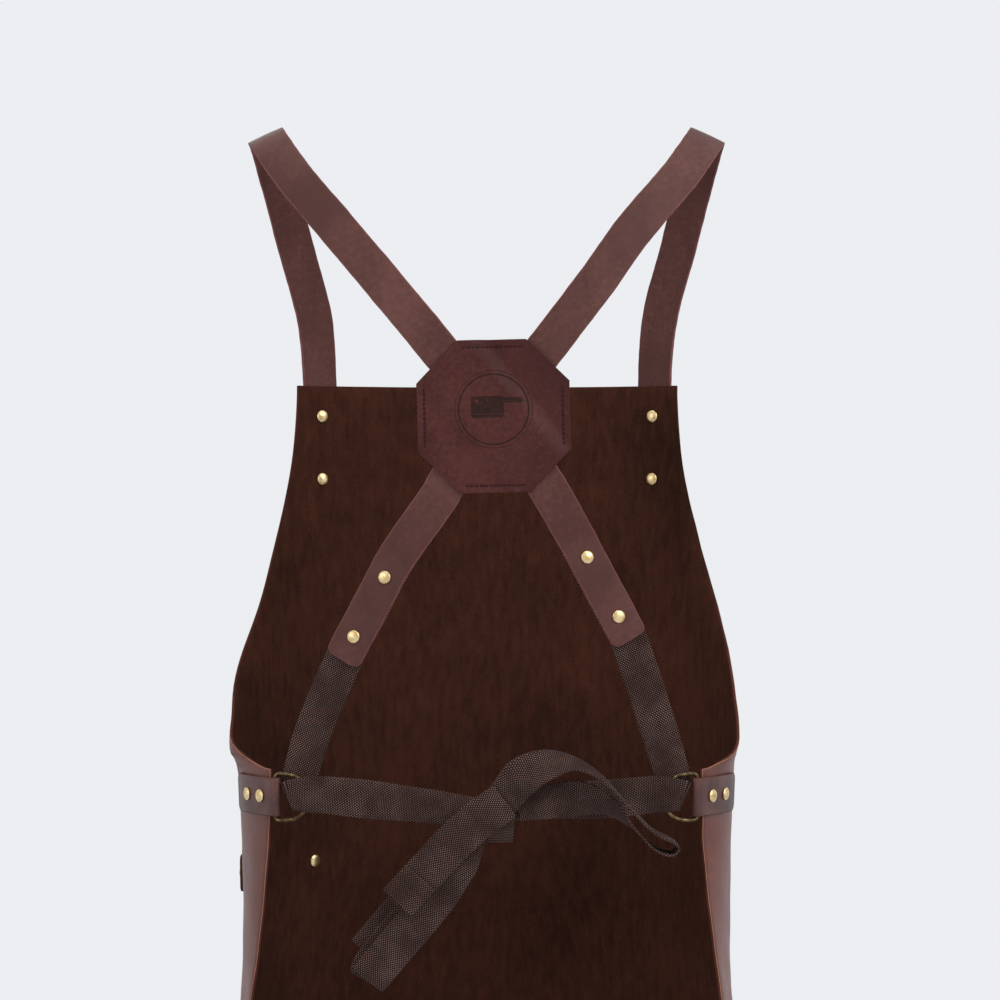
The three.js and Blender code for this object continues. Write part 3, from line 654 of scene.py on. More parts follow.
@dataclass(frozen=True)
class SmoothLeather(Finish):
    """The smooth face of a waxed hide, with pores, fine creases and a mottled dye."""

    dark: Colour = UNSET
    base: Colour = UNSET
    light: Colour = UNSET
    mottle: float = 20.0
    depth: float = 0.00012
    pore: float = 1100.0

    def build(self) -> bpy.types.Material:
        """Make the material."""
        material, recipe, shader = self.begin()
        coords = recipe.node("ShaderNodeTexCoord").outputs["Object"]
        colour, rough, height = self.skin(recipe, coords)
        self.dress(recipe, shader, colour, rough, height, self.depth)
        return material

    def skin(self, recipe: Recipe, coords: bpy.types.NodeSocket) -> tuple:
        """Give the hide's colour, roughness and height.

        Args:
            recipe: The material's recipe.
            coords: Object coordinates.

        Returns:
            The colour socket, the roughness and the height.
        """
        cloud = recipe.noise(coords, self.mottle, 4.0, 0.55)
        streak = recipe.noise(recipe.stretched(coords, (1.0, 1.0, 0.22)), self.mottle * 5, 3.0)
        fine = recipe.noise(coords, self.mottle * 26, 4.0, 0.6)
        pores = recipe.cells(coords, self.pore)
        crease = recipe.noise(coords, self.pore * 0.32, 5.0, 0.62, 0.9)
        pit = 1.0 - pores.rise(0.05, 0.4)
        tone = (cloud * 0.6 + streak * 0.25 + fine * 0.15).rise(0.36, 0.66)
        colour = recipe.mix(tone, self.dark, self.base)
        colour = recipe.mix((cloud * fine).rise(0.22, 0.42) * 0.55, colour, self.light)
        colour = recipe.mix(pit * 0.35, colour, self.dark)
        rough = self.roughness + (fine - 0.5) * 0.22 + pit * 0.1 - (cloud - 0.5) * 0.12
        height = crease * 0.75 + pores.rise(0.0, 0.5) * 0.35 + cloud * 0.4
        return colour, rough, height


@dataclass(frozen=True)
class Suede(Finish):
    """The rough inner face of a hide, or a cut edge, with loose fibres."""

    dark: Colour = UNSET
    base: Colour = UNSET
    nap: float = 900.0
    depth: float = 0.0004

    def build(self) -> bpy.types.Material:
        """Make the material."""
        material, recipe, shader = self.begin()
        coords = recipe.node("ShaderNodeTexCoord").outputs["Object"]
        cloud = recipe.noise(coords, 9.0, 5.0, 0.55)
        fibre = recipe.noise(coords, self.nap, 5.0, 0.7, 0.6)
        brushed = recipe.noise(recipe.stretched(coords, (1.0, 1.0, 0.3)), self.nap * 0.25, 3.0)
        tone = (cloud * 0.35 + fibre * 0.4 + brushed * 0.3).rise(0.3, 0.76)
        colour = recipe.mix(tone, self.dark, self.base)
        rough = self.roughness + (fibre - 0.5) * 0.1
        self.dress(recipe, shader, colour, rough, fibre * 0.7 + brushed * 0.5, self.depth)
        return material


@dataclass(frozen=True)
class Weave(Finish):
    """Woven webbing: ribs across the band, each a row of raised yarns in staggered rows, coloured
    with painted shade between the yarns and painted glints on their tops.
    """

    dark: Colour = UNSET
    base: Colour = UNSET
    light: Colour = UNSET
    rib: float = 2.3
    yarn: float = 1.7
    depth: float = 0.00045

    def build(self) -> bpy.types.Material:
        """Make the material."""
        material, recipe, shader = self.begin()
        coords = recipe.node("ShaderNodeTexCoord").outputs["Object"]
        cloth = recipe.node("ShaderNodeUVMap", {"uv_map": "cloth"}).outputs[0]
        along, round_it, _ = recipe.parts(cloth)
        drift = recipe.noise(coords, 60.0, 2.0) * 0.35
        ribs = along / (self.rib * MM) * 2.0 + drift
        row = ribs.floor()
        shift = (row * 0.5).math("FRACT")
        yarns = round_it / (self.yarn * MM) + shift
        across = abs(yarns.math("FRACT") - 0.5) * 2.0
        lengthways = abs(ribs.math("FRACT") - 0.5) * 2.0
        radius = (across * across * 0.9 + lengthways * lengthways * 0.75).math("SQRT")
        raised = 1.0 - radius.rise(0.25, 1.0)
        cloud = recipe.noise(coords, 45.0, 4.0, 0.6)
        fuzz = recipe.noise(coords, 2600.0, 3.0, 0.7)
        # Painted shade: the hollows between the raised yarns take the near-black dark colour.
        colour = recipe.mix(raised * 0.9, self.dark, self.base)
        # Painted glint: the tops of the raised yarns take the light colour where the noise is high.
        painted_glint = (raised * (cloud + fuzz * 0.5)).rise(0.5, 0.95)
        colour = recipe.mix(painted_glint * 0.75, colour, self.light)
        rough = self.roughness - raised * 0.14 + (fuzz - 0.5) * 0.1
        self.dress(recipe, shader, colour, rough, raised * 0.85 + fuzz * 0.2, self.depth)
        return material


@dataclass(frozen=True)
class AgedBrass(Finish):
    """Brass with a patina that gathers in patches."""

    bright: Colour = UNSET
    tarnish: Colour = UNSET
    worn: float = 0.5

    def build(self) -> bpy.types.Material:
        """Make the material."""
        material, recipe, shader = self.begin()
        coords = recipe.node("ShaderNodeTexCoord").outputs["Object"]
        patch = recipe.noise(coords, 320.0, 4.0, 0.6)
        speck = recipe.noise(coords, 2400.0, 3.0, 0.6)
        patina = (patch * 0.7 + speck * 0.3).rise(self.worn - 0.12, self.worn + 0.14)
        colour = recipe.mix(patina, self.bright, self.tarnish)
        rough = self.roughness + patina * 0.22 + (speck - 0.5) * 0.08
        self.dress(recipe, shader, colour, rough, patch * 0.6 + speck * 0.4, 0.00004)
        return material


@dataclass(frozen=True)
class Thread(Finish):
    """Waxed thread, twisted from plies."""

    dark: Colour = UNSET
    base: Colour = UNSET

    def build(self) -> bpy.types.Material:
        """Make the material."""
        material, recipe, shader = self.begin()
        coords = recipe.node("ShaderNodeTexCoord").outputs["Object"]
        ply = recipe.noise(coords, 2200.0, 2.0, 0.5, 1.2)
        colour = recipe.mix(ply.rise(0.35, 0.65), self.dark, self.base)
        self.dress(recipe, shader, colour, None, ply, 0.00015)
        return material


@dataclass(frozen=True)
class StampedLeather(SmoothLeather):
    """The patch's hide, with a plain ring and a cleaver burnt into it."""

    centre: tuple[float, float, float] = (0.0, 0.0, 0.0)
    turn: float = 0.0
    ring: float = 22.5
    outer_ring: float = 24.9
    rise: float = 4.4

    def build(self) -> bpy.types.Material:
        """Make the material."""
        material, recipe, shader = self.begin()
        coords = recipe.node("ShaderNodeTexCoord").outputs["Object"]
        colour, rough, height = self.skin(recipe, coords)
        burnt = self.motif(recipe, coords)
        ragged = recipe.noise(coords, 700.0, 3.0).rise(0.25, 0.6) * 0.35 + 0.65
        mark = burnt * ragged
        colour = recipe.mix(mark * 0.85, colour, paint(30, 17, 12))
        rough = rough + mark * 0.25
        self.dress(recipe, shader, colour, rough, height - mark * 2.2, self.depth)
        return material

    def motif(self, recipe: Recipe, coords: bpy.types.NodeSocket) -> Amount:
        """Draw the burnt lines on the patch's outer face.

        Args:
            recipe: The material's recipe.
            coords: Object coordinates.

        Returns:
            1 on a line and 0 off it.
        """
        at = {"Vector": coords, "Location": tuple(-value * MM for value in self.centre)}
        moved = recipe.node("ShaderNodeMapping", {}, at).outputs[0]
        turned = {"Vector": moved, "Rotation": (0.0, math.radians(self.turn), 0.0)}
        turned["Scale"] = (-1 / MM, 1 / MM, 1 / MM)
        x, _, z = recipe.parts(recipe.node("ShaderNodeMapping", {}, turned).outputs[0])
        z = z - self.rise
        reach = (x * x + z * z).math("SQRT")
        line = 1.0 - abs(reach - self.ring).rise(0.25, 0.6)
        faint = (1.0 - abs(reach - self.outer_ring).rise(0.1, 0.45)) * 0.55
        blade = self.box(x + 4.0, z - 1.5, 10.5, 6.8, 1.6)
        handle = self.box(x - 12.6, z - 5.6, 6.2, 1.7, 1.5)
        eye = 1.0 - ((x + 11.0) * (x + 11.0) + (z - 5.4) * (z - 5.4)).math("SQRT").rise(1.0, 1.5)
        bevel = 1.0 - abs(z + 3.0).rise(0.15, 0.45)
        cleaver = blade.most(handle) * (1.0 - eye) * (1.0 - bevel * blade * 0.85)
        return line.most(faint).most(cleaver)

    @staticmethod
    def box(x: Amount, z: Amount, wide: float, high: float, corner: float) -> Amount:
        """Give 1 inside a rounded rectangle centred on x = 0 and z = 0, in millimetres."""
        px = (abs(x) - (wide - corner)).most(0.0)
        pz = (abs(z) - (high - corner)).most(0.0)
        return 1.0 - (px * px + pz * pz).math("SQRT").rise(corner - 0.25, corner + 0.25)


class Rack:
    """Every material of the apron, made once."""

    def __init__(self, patch_at: tuple[float, float, float], patch_turn: float) -> None:
        """Make the materials.

        Args:
            patch_at: The patch's centre, in millimetres.
            patch_turn: How far the patch has turned, in degrees.
        """
        self.panel = SmoothLeather("panel_smooth", roughness=0.42, coat=0.05, specular=0.3,
                                   mottle=7.0, dark=paint(84, 44, 35), base=paint(98, 53, 43),
                                   light=paint(112, 65, 54), depth=0.00016).build()
        self.suede = Suede("panel_suede", roughness=0.95, specular=0.08, dark=paint(34, 17, 11),
                           base=paint(72, 40, 28)).build()
        self.arris = Suede("panel_arris", roughness=0.7, nap=1500.0, specular=0.2, depth=0.0002,
                           dark=paint(126, 78, 60), base=paint(178, 126, 100)).build()
        # Painted shade: the panel's cut rim is coloured the dark brown that it shows in shade.
        self.panel_cut = Suede("panel_cut_edge", roughness=0.85, nap=1500.0, specular=0.1,
                               dark=paint(44, 22, 17), base=paint(88, 48, 37)).build()
        self.strap = SmoothLeather("strap_smooth", roughness=0.52, specular=0.2, mottle=11.0,
                                   dark=paint(70, 39, 34), base=paint(88, 52, 46),
                                   light=paint(97, 61, 55), depth=0.0001).build()
        self.strap_cut = Suede("strap_cut_edge", roughness=0.75, nap=1600.0, specular=0.15,
                               depth=0.0002, dark=paint(80, 42, 39),
                               base=paint(126, 79, 75)).build()
        self.patch = StampedLeather("patch_waxed", roughness=0.5, specular=0.16, mottle=13.0,
                                    dark=paint(55, 23, 20), base=paint(71, 32, 28),
                                    light=paint(84, 43, 38), depth=0.00016,
                                    centre=patch_at, turn=patch_turn).build()
        self.patch_cut = Suede("patch_cut_edge", roughness=0.8, nap=1600.0, specular=0.1,
                               depth=0.0002, dark=paint(40, 15, 15), base=paint(76, 34, 33)).build()
        self.tab = SmoothLeather("tab_smooth", roughness=0.42, coat=0.05, specular=0.36,
                                 mottle=40.0, dark=paint(56, 28, 25), base=paint(80, 44, 39),
                                 light=paint(104, 68, 61), depth=0.00014).build()
        self.tab_cut = Suede("tab_cut_edge", roughness=0.75, nap=1600.0, specular=0.15,
                             depth=0.0002, dark=paint(48, 24, 21), base=paint(96, 54, 46)).build()
        # The webbing's near-black dark is painted shade between its yarns, and its light is a
        # painted glint on their tops.
        self.webbing = Weave("webbing_weave", roughness=0.85, specular=0.12, dark=paint(13, 7, 6),
                             base=paint(80, 55, 49), light=paint(148, 119, 110)).build()
        self.rivet = AgedBrass("rivet_brass_aged", roughness=0.26, metallic=1.0,
                               bright=paint(240, 216, 166), tarnish=paint(196, 164, 108)).build()
        self.ring = AgedBrass("ring_brass_antique", roughness=0.3, metallic=1.0, worn=0.44,
                              bright=paint(134, 114, 80), tarnish=paint(72, 58, 40)).build()
        self.thread = Thread("thread_waxed", roughness=0.7, specular=0.2, dark=paint(24, 8, 9),
                             base=paint(56, 20, 21)).build()
        self.hem_thread = Thread("hem_thread", roughness=0.8, specular=0.2, dark=paint(20, 13, 11),
                                 base=paint(52, 38, 33)).build()


# ---- The body under the apron, and the panel on it -------------------------------------------


@dataclass
class Girth:
    """The wearer's girth as half-ellipses, each a height, a half width and a half depth."""

    rows: tuple = ((-1005, 205, 160), (-750, 181, 150), (-575, 164, 138), (-500, 163, 126),
                   (-421, 166, 115), (-300, 172, 117), (-165, 180, 118))
    steps: int = 60

    def _through(self, column: int, z: np.ndarray) -> np.ndarray:
        """Give a smooth value through one column of the rows.

        Args:
            column: 1 for the half widths or 2 for the half depths.
            z: The heights.

        Returns:
            The values at those heights.
        """
        rows = np.array(self.rows, dtype=float)
        keys, values = rows[:, 0], rows[:, column]
        last = len(keys) - 1
        each = np.arange(last + 1)
        low, high = np.maximum(each - 1, 0), np.minimum(each + 1, last)
        slopes = (values[high] - values[low]) / (keys[high] - keys[low])
        k = np.clip(np.searchsorted(keys, z, side="left") - 1, 0, last - 1)
        span = keys[k + 1] - keys[k]
        t = np.clip((z - keys[k]) / span, 0, 1)
        rise = values[k + 1] - values[k]
        bend, end = slopes[k] * span, slopes[k + 1] * span
        cubic = (3 * rise - 2 * bend - end) + t * (bend + end - 2 * rise)
        return values[k] + t * (bend + t * cubic)

    def points(self, s: np.ndarray, z: np.ndarray) -> np.ndarray:
        """Find the points that lie `s` round from the front centre at heights `z`."""
        s, z = np.broadcast_arrays(np.asarray(s, dtype=float), np.asarray(z, dtype=float))
        a, b = self._through(1, z), self._through(2, z)
        part = np.abs(s) / self.steps
        angle = np.zeros_like(part)
        for _ in range(self.steps):
            middle = angle + part / np.hypot(a * np.cos(angle), b * np.sin(angle)) / 2
            angle = angle + part / np.hypot(a * np.cos(middle), b * np.sin(middle))
        return np.stack([np.sign(s) * a * np.sin(angle), -b * np.cos(angle), z], -1)

    def frames(self, s: np.ndarray, z: np.ndarray) -> tuple[np.ndarray, np.ndarray, np.ndarray]:
        """Give points, cross directions and outward normals.

        Args:
            s: Distances round from the front centre.
            z: Heights.

        Returns:
            The points, the directions of growing `s` and the outward normals.
        """
        run = self.points(s + 1, z) - self.points(s - 1, z)
        run /= np.linalg.norm(run, axis=-1, keepdims=True)
        up = self.points(s, z + 1) - self.points(s, z - 1)
        out = np.cross(run, up)
        return self.points(s, z), run, out / np.linalg.norm(out, axis=-1, keepdims=True)

    def place(self, s: float, z: float) -> Place:
        """Give one place on the panel's middle surface."""
        at, run, out = (Vector(value[0]) for value in self.frames(np.array([s]), np.array([z])))
        return Place(at, out, run)


@dataclass
class Panel:
    """The apron's panel: one hide, cut with a bib, two armholes and a skirt.

    The spots say how far round, and the rows and ends how high, the riveted pieces hold it calm.
    """

    girth: Girth
    leather: float = 2.0
    bib_top: float = -165.0
    bib_half: float = 140.0
    armhole_low: float = -421.0
    skirt_half: float = 290.0
    armhole_power: float = 1.8
    hem: float = -1005.0
    hem_corner: float = 40.0
    flat: tuple[float, float] = (0.58, 0.84)
    area: float = 0.429
    bib_columns: int = 64
    side_columns: int = 44
    rows: int = 170
    strap_spot: tuple[float, float] = (106, 136)
    strap_end: tuple[float, float] = (-262, -250)
    tab_spot: tuple[float, float] = (240, 300)
    tab_rows: tuple[float, float] = (-453, -424)
    loop_spot: tuple[float, float] = (118, 228)
    loop_rows: tuple[float, float] = (-512, -482)

    def columns(self) -> tuple[np.ndarray, np.ndarray]:
        """Choose the places across the panel and how high its upper edge is at each.

        Returns:
            The places, from the right side to the left, and the heights.
        """
        turn = np.linspace(0, math.pi / 2, self.side_columns + 1)[1:]
        inward = np.cos(turn).clip(0) ** (2 / self.armhole_power)
        drop = np.sin(turn) ** (2 / self.armhole_power)
        side = self.skirt_half - (self.skirt_half - self.bib_half) * inward
        upper = self.bib_top + (self.armhole_low - self.bib_top) * drop
        bib = np.linspace(-self.bib_half, self.bib_half, self.bib_columns + 1)
        level = np.full_like(bib, self.bib_top)
        places = np.concatenate([-side[::-1], bib, side])
        return (places, np.concatenate([upper[::-1], level, upper]))

    def hem_at(self, s: np.ndarray) -> np.ndarray:
        """Give the hem's height, which rises round its two corners."""
        past = np.maximum(np.abs(s) - (self.skirt_half - self.hem_corner), 0)
        return self.hem + self.hem_corner - np.sqrt(np.maximum(self.hem_corner ** 2 - past ** 2, 0))

    def calm(self, s: np.ndarray, z: np.ndarray) -> np.ndarray:
        """Tell where the leather lies still because something is riveted to it.

        Args:
            s: Distances round from the front centre.
            z: Heights.

        Returns:
            0 under a strap's end, a tab or the towel loop, and 1 clear of them.
        """
        near = np.abs(s)
        strap = within(near, *self.strap_spot, 9) * smooth(z, *self.strap_end)
        tab = within(near, *self.tab_spot, 14) * within(z, *self.tab_rows, 12)
        loop = within(s, *self.loop_spot, 12) * within(z, *self.loop_rows, 14)
        return (1 - strap) * (1 - tab) * (1 - loop)

    def lean(self, s: np.ndarray, z: np.ndarray, upper: np.ndarray) -> np.ndarray:
        """Give how far the hide stands out from the body's smooth girth.

        Args:
            s: Distances round from the front centre.
            z: Heights.
            upper: The upper edge's height at each place.

        Returns:
            The distances outwards.
        """
        low = smooth(-z, 540, 900)
        flutes = np.sin(s / 37 + 0.6) * 0.55 + np.sin(s / 23 - 1.1 + z / 900) * 0.3
        skirt = low * 6.5 * flutes + low * 2.0
        edge = smooth(np.abs(s), 262, 290) * smooth(-z, 480, 640)
        below = upper - z
        border = np.exp(-np.maximum(below, 0) / 13) * within(np.abs(s), 158, 262, 18)
        curl = border * (2.6 + 1.6 * np.sin(s / 15))
        ear = np.exp(-((s - 243) / 20) ** 2 - ((z + 410) / 17) ** 2) * 5.0
        dent = -2.2 * np.exp(-((np.abs(s) - 222) / 15) ** 2 - ((z + 432) / 45) ** 2)
        uneven = 0.5 * np.sin(s / 19 + z / 41) + 0.4 * np.sin(s / 11 - z / 27 + 2)
        uneven += 0.25 * np.sin(s / 6.1 + z / 9.7) * np.sin(z / 14.3 - s / 31)
        return (skirt + curl + ear + dent + uneven) * self.calm(s, z) + edge * 2.4

    def build(self, rack: Rack) -> bpy.types.Object:
        """Make the panel.

        Args:
            rack: The materials.

        Returns:
            The panel.
        """
        across, upper = self.columns()
        part = np.linspace(0, 1, self.rows + 1)[:, None]
        z = upper[None, :] + (self.hem_at(across) - upper)[None, :] * part
        s = np.broadcast_to(across, z.shape)
        middle, _, out = self.girth.frames(s, z)
        middle = middle + out * self.lean(s, z, np.broadcast_to(upper, z.shape))[..., None]
        run = np.gradient(middle, axis=1)
        down = np.gradient(middle, axis=0)
        normal = np.cross(down, run)
        size = np.linalg.norm(normal, axis=-1, keepdims=True)
        normal = np.where(size > TINY, normal / np.maximum(size, 1e-9), out)
        normal *= np.sign(np.sum(normal * out, axis=-1, keepdims=True))
        piece = sheet_piece("panel", middle, normal, self.leather,
                            (rack.panel, rack.suede, rack.arris, rack.panel_cut))
        return mount(piece, APRON, ["apron_panel"])


# ---- Rivets --------------------------------------------------------------------------------


@dataclass
class Rivets:
    """Every double-cap rivet, set along its own line through what it fastens."""

    cap: float = 4.25
    rise: float = 1.7
    post: float = 1.5
    seat: float = 0.3
    turns: int = 28
    spots: list[tuple[Place, float]] = field(default_factory=list)
    nodes: list[str] = field(default_factory=list)

    def set(self, name: str, place: Place, stack: float) -> None:
        """Set a rivet.

        Args:
            name: The plain solid that it replaces.
            place: The middle of what it goes through.
            stack: How thick that is.
        """
        self.spots.append((place, stack))
        self.nodes.append(name)

    def _template(self, material: bpy.types.Material) -> bpy.types.Object:
        """Turn one cap, which stands on +Z with a rolled rim and a softly domed top."""
        rim = [(self.post, -0.2), (self.cap * 0.96, -0.1), (self.cap, 0.16), (self.cap, 0.42)]
        dome = [(0.955, 0.42), (0.86, 0.58), (0.7, 0.76), (0.5, 0.89), (0.28, 0.97), (0.1, 1.0)]
        profile = rim + [(self.cap * r, self.rise * z) for r, z in dome]
        points, faces = [], []
        for r, z in profile:
            for k in range(self.turns):
                angle = 2 * math.pi * k / self.turns
                points.append((r * math.cos(angle), r * math.sin(angle), z))
        for i in range(len(profile) - 1):
            for k in range(self.turns):
                n = (k + 1) % self.turns
                row = i * self.turns
                faces.append((row + k, row + n, row + self.turns + n, row + self.turns + k))
        faces.append(tuple(range(self.turns - 1, -1, -1)))
        top = (len(profile) - 1) * self.turns
        faces.append(tuple(range(top, top + self.turns)))
        return finished("cap_template", points, faces, [0] * len(faces), [material], sharp=45)

    def build(self, rack: Rack) -> bpy.types.Object:
        """Make the rivets with a Geometry Nodes tree.

        Args:
            rack: The materials.

        Returns:
            All the rivets as one piece.
        """
        template = self._template(rack.rivet)
        mesh = bpy.data.meshes.new("rivet_places")
        mesh.from_pydata([tuple(place.at * MM) for place, _ in self.spots], [], [])
        facing = mesh.attributes.new("facing", "FLOAT_VECTOR", "POINT")
        facing.data.foreach_set("vector", [n for place, _ in self.spots for n in place.out])
        stack = mesh.attributes.new("stack", "FLOAT", "POINT")
        stack.data.foreach_set("value", [thick * MM for _, thick in self.spots])
        places = bpy.data.objects.new("rivets", mesh)
        bpy.context.scene.collection.objects.link(places)
        tree, inputs = self._tree(rack.rivet)
        values = {"Seat": self.seat * MM, "Post radius": self.post * MM, "Cap": template}
        piece = grown(places, tree, inputs, values)
        bpy.data.objects.remove(template)
        return mount(piece, APRON, self.nodes)

    def _tree(self, material: bpy.types.Material) -> tuple[bpy.types.NodeTree, dict[str, str]]:
        """Build the tree that puts a cap on each side of the stack, and a post between them.

        Args:
            material: The rivets' material.

        Returns:
            The tree and its inputs' identifiers by name.
        """
        tree, recipe, start, inputs = planted(
            "rivet_setter", {"Seat": "NodeSocketFloat", "Post radius": "NodeSocketFloat",
                             "Cap": "NodeSocketObject"})
        points = start.outputs["Geometry"]
        facing = named(recipe, "facing", "FLOAT_VECTOR")
        stack = named(recipe, "stack", "FLOAT")
        cap = recipe.node("GeometryNodeObjectInfo", {}, {"Object": start.outputs["Cap"]})
        reach = Amount(recipe, stack) * 0.5 + Amount(recipe, start.outputs["Seat"])
        parts = []
        for way in (1.0, -1.0):
            scale = {"Vector": facing, "Scale": reach * way}
            offset = recipe.node("ShaderNodeVectorMath", {"operation": "SCALE"}, scale).outputs[0]
            shift = {"Geometry": points, "Offset": offset}
            moved = recipe.node("GeometryNodeSetPosition", {}, shift)
            aim = recipe.node("FunctionNodeAlignRotationToVector", {"axis": "Z"},
                              {"Vector": offset})
            put = {"Points": moved.outputs[0], "Instance": cap.outputs["Geometry"],
                   "Rotation": aim.outputs[0]}
            parts.append(recipe.node("GeometryNodeInstanceOnPoints", {}, put).outputs[0])
        rod = recipe.node("GeometryNodeMeshCylinder", {}, {
            "Vertices": 16, "Radius": start.outputs["Post radius"], "Depth": 1.0}).outputs["Mesh"]
        stretch = {0: 1.0, 1: 1.0, 2: reach * 2.0}
        length = recipe.node("ShaderNodeCombineXYZ", {}, stretch).outputs[0]
        aim = recipe.node("FunctionNodeAlignRotationToVector", {"axis": "Z"}, {"Vector": facing})
        put = {"Points": points, "Instance": rod, "Rotation": aim.outputs[0], "Scale": length}
        parts.append(recipe.node("GeometryNodeInstanceOnPoints", {}, put).outputs[0])
        harvest(recipe, parts, material)
        return tree, inputs


# ---- Geometry Nodes helpers ------------------------------------------------------------------


def planted(name: str, sockets: dict[str, str]) -> tuple:
    """Start a Geometry Nodes tree.

    Args:
        name: The tree's name.
        sockets: The types of its inputs by name.

    Returns:
        The tree, its recipe, its input node and its inputs' identifiers by name.
    """
    tree = bpy.data.node_groups.new(name, "GeometryNodeTree")
    tree.interface.new_socket("Geometry", in_out="INPUT", socket_type="NodeSocketGeometry")
    tree.interface.new_socket("Geometry", in_out="OUTPUT", socket_type="NodeSocketGeometry")
    inputs = {}
    for title, kind in sockets.items():
        socket = tree.interface.new_socket(title, in_out="INPUT", socket_type=kind)
        inputs[title] = socket.identifier
    recipe = Recipe(tree)
    return tree, recipe, recipe.node("NodeGroupInput"), inputs


def named(recipe: Recipe, name: str, kind: str) -> bpy.types.NodeSocket:
    """Read a named attribute."""
    node = recipe.node("GeometryNodeInputNamedAttribute", {"data_type": kind}, {"Name": name})
    return next(socket for socket in node.outputs if socket.enabled)


def harvest(recipe: Recipe, parts: Sequence[bpy.types.NodeSocket],
            material: bpy.types.Material) -> None:
    """End a tree: join its parts, realise the instances and set the material.

    Args:
        recipe: The tree's recipe.
        parts: The geometry sockets to join.
        material: The material of the result.
    """
    joined = recipe.node("GeometryNodeJoinGeometry")
    for part in parts:
        recipe.tree.links.new(part, joined.inputs[0])
    real = recipe.node("GeometryNodeRealizeInstances", {}, {0: joined.outputs[0]})
    dyed = recipe.node("GeometryNodeSetMaterial", {},
                       {"Geometry": real.outputs[0], "Material": material})
    recipe.node("NodeGroupOutput", {}, {0: dyed.outputs[0]})


def grown(places: bpy.types.Object, tree: bpy.types.NodeTree, inputs: dict[str, str],
          values: dict[str, object]) -> bpy.types.Object:
    """Run a Geometry Nodes tree on an object and keep the result as a plain mesh.

    Args:
        places: The object that the tree reads.
        tree: The tree.
        inputs: The identifiers of the tree's inputs by name.
        values: The inputs' values by name.

    Returns:
        A new object with the same name.
    """
    modifier = places.modifiers.new(tree.name, "NODES")
    modifier.node_group = tree
    for title, value in values.items():
        modifier[inputs[title]] = value
    graph = bpy.context.evaluated_depsgraph_get()
    mesh = bpy.data.meshes.new_from_object(places.evaluated_get(graph))
    name = places.name
    places.modifiers.remove(modifier)
    bpy.data.objects.remove(places)
    piece = bpy.data.objects.new(name, mesh)
    bpy.context.scene.collection.objects.link(piece)
    return piece


@dataclass
class Stitcher:
    """Lays a row of stitches along a line of points."""

    length: float = 3.0
    thread: float = 0.95
    fill: float = 0.82
    seed: int = 7

    def row(self, name: str, lines: Sequence[Sequence[Vector]],
            material: bpy.types.Material) -> bpy.types.Object:
        """Sew one or more lines.

        Args:
            name: The piece's name.
            lines: The points of each line, in millimetres.
            material: The thread.

        Returns:
            The stitches.
        """
        points, edges = [], []
        for line in lines:
            first = len(points)
            points.extend(tuple(Vector(point) * MM) for point in line)
            edges.extend((k, k + 1) for k in range(first, len(points) - 1))
        mesh = bpy.data.meshes.new(name)
        mesh.from_pydata(points, edges, [])
        places = bpy.data.objects.new(name, mesh)
        bpy.context.scene.collection.objects.link(places)
        tree, inputs = self._tree(material)
        values = {"Stitch": self.length * MM, "Thread": self.thread * MM, "Fill": self.fill,
                  "Seed": self.seed}
        return grown(places, tree, inputs, values)

    @staticmethod
    def _tree(material: bpy.types.Material) -> tuple[bpy.types.NodeTree, dict[str, str]]:
        """Build the tree that puts a plump stitch on each step of a line.

        Args:
            material: The thread's material.

        Returns:
            The tree and its inputs' identifiers by name.
        """
        tree, recipe, start, inputs = planted(
            "stitcher", {"Stitch": "NodeSocketFloat", "Thread": "NodeSocketFloat",
                         "Fill": "NodeSocketFloat", "Seed": "NodeSocketInt"})
        line = recipe.node("GeometryNodeMeshToCurve", {}, {0: start.outputs["Geometry"]}).outputs[0]
        steps = recipe.node("GeometryNodeResampleCurve", {"mode": "LENGTH"},
                            {"Curve": line, "Length": start.outputs["Stitch"]}).outputs[0]
        tangent = recipe.node("GeometryNodeInputTangent").outputs[0]
        aim = recipe.node("FunctionNodeAlignRotationToVector", {"axis": "X"}, {"Vector": tangent})
        ball = recipe.node("GeometryNodeMeshUVSphere", {},
                           {"Segments": 10, "Rings": 8, "Radius": 0.5})
        long = Amount(recipe, start.outputs["Stitch"]) * Amount(recipe, start.outputs["Fill"])
        wobble = recipe.node("FunctionNodeRandomValue", {"data_type": "FLOAT"},
                             {2: 0.88, 3: 1.1, "Seed": start.outputs["Seed"]}).outputs[1]
        thick = Amount(recipe, start.outputs["Thread"]) * Amount(recipe, wobble)
        scale = recipe.node("ShaderNodeCombineXYZ", {}, {0: long, 1: thick, 2: thick}).outputs[0]
        put = {"Points": steps, "Instance": ball.outputs["Mesh"], "Rotation": aim.outputs[0],
               "Scale": scale}
        stitches = recipe.node("GeometryNodeInstanceOnPoints", {}, put).outputs[0]
        harvest(recipe, [stitches], material)
        return tree, inputs


# ---- Rings, tabs and the planes that the ties lie in -------------------------------------------


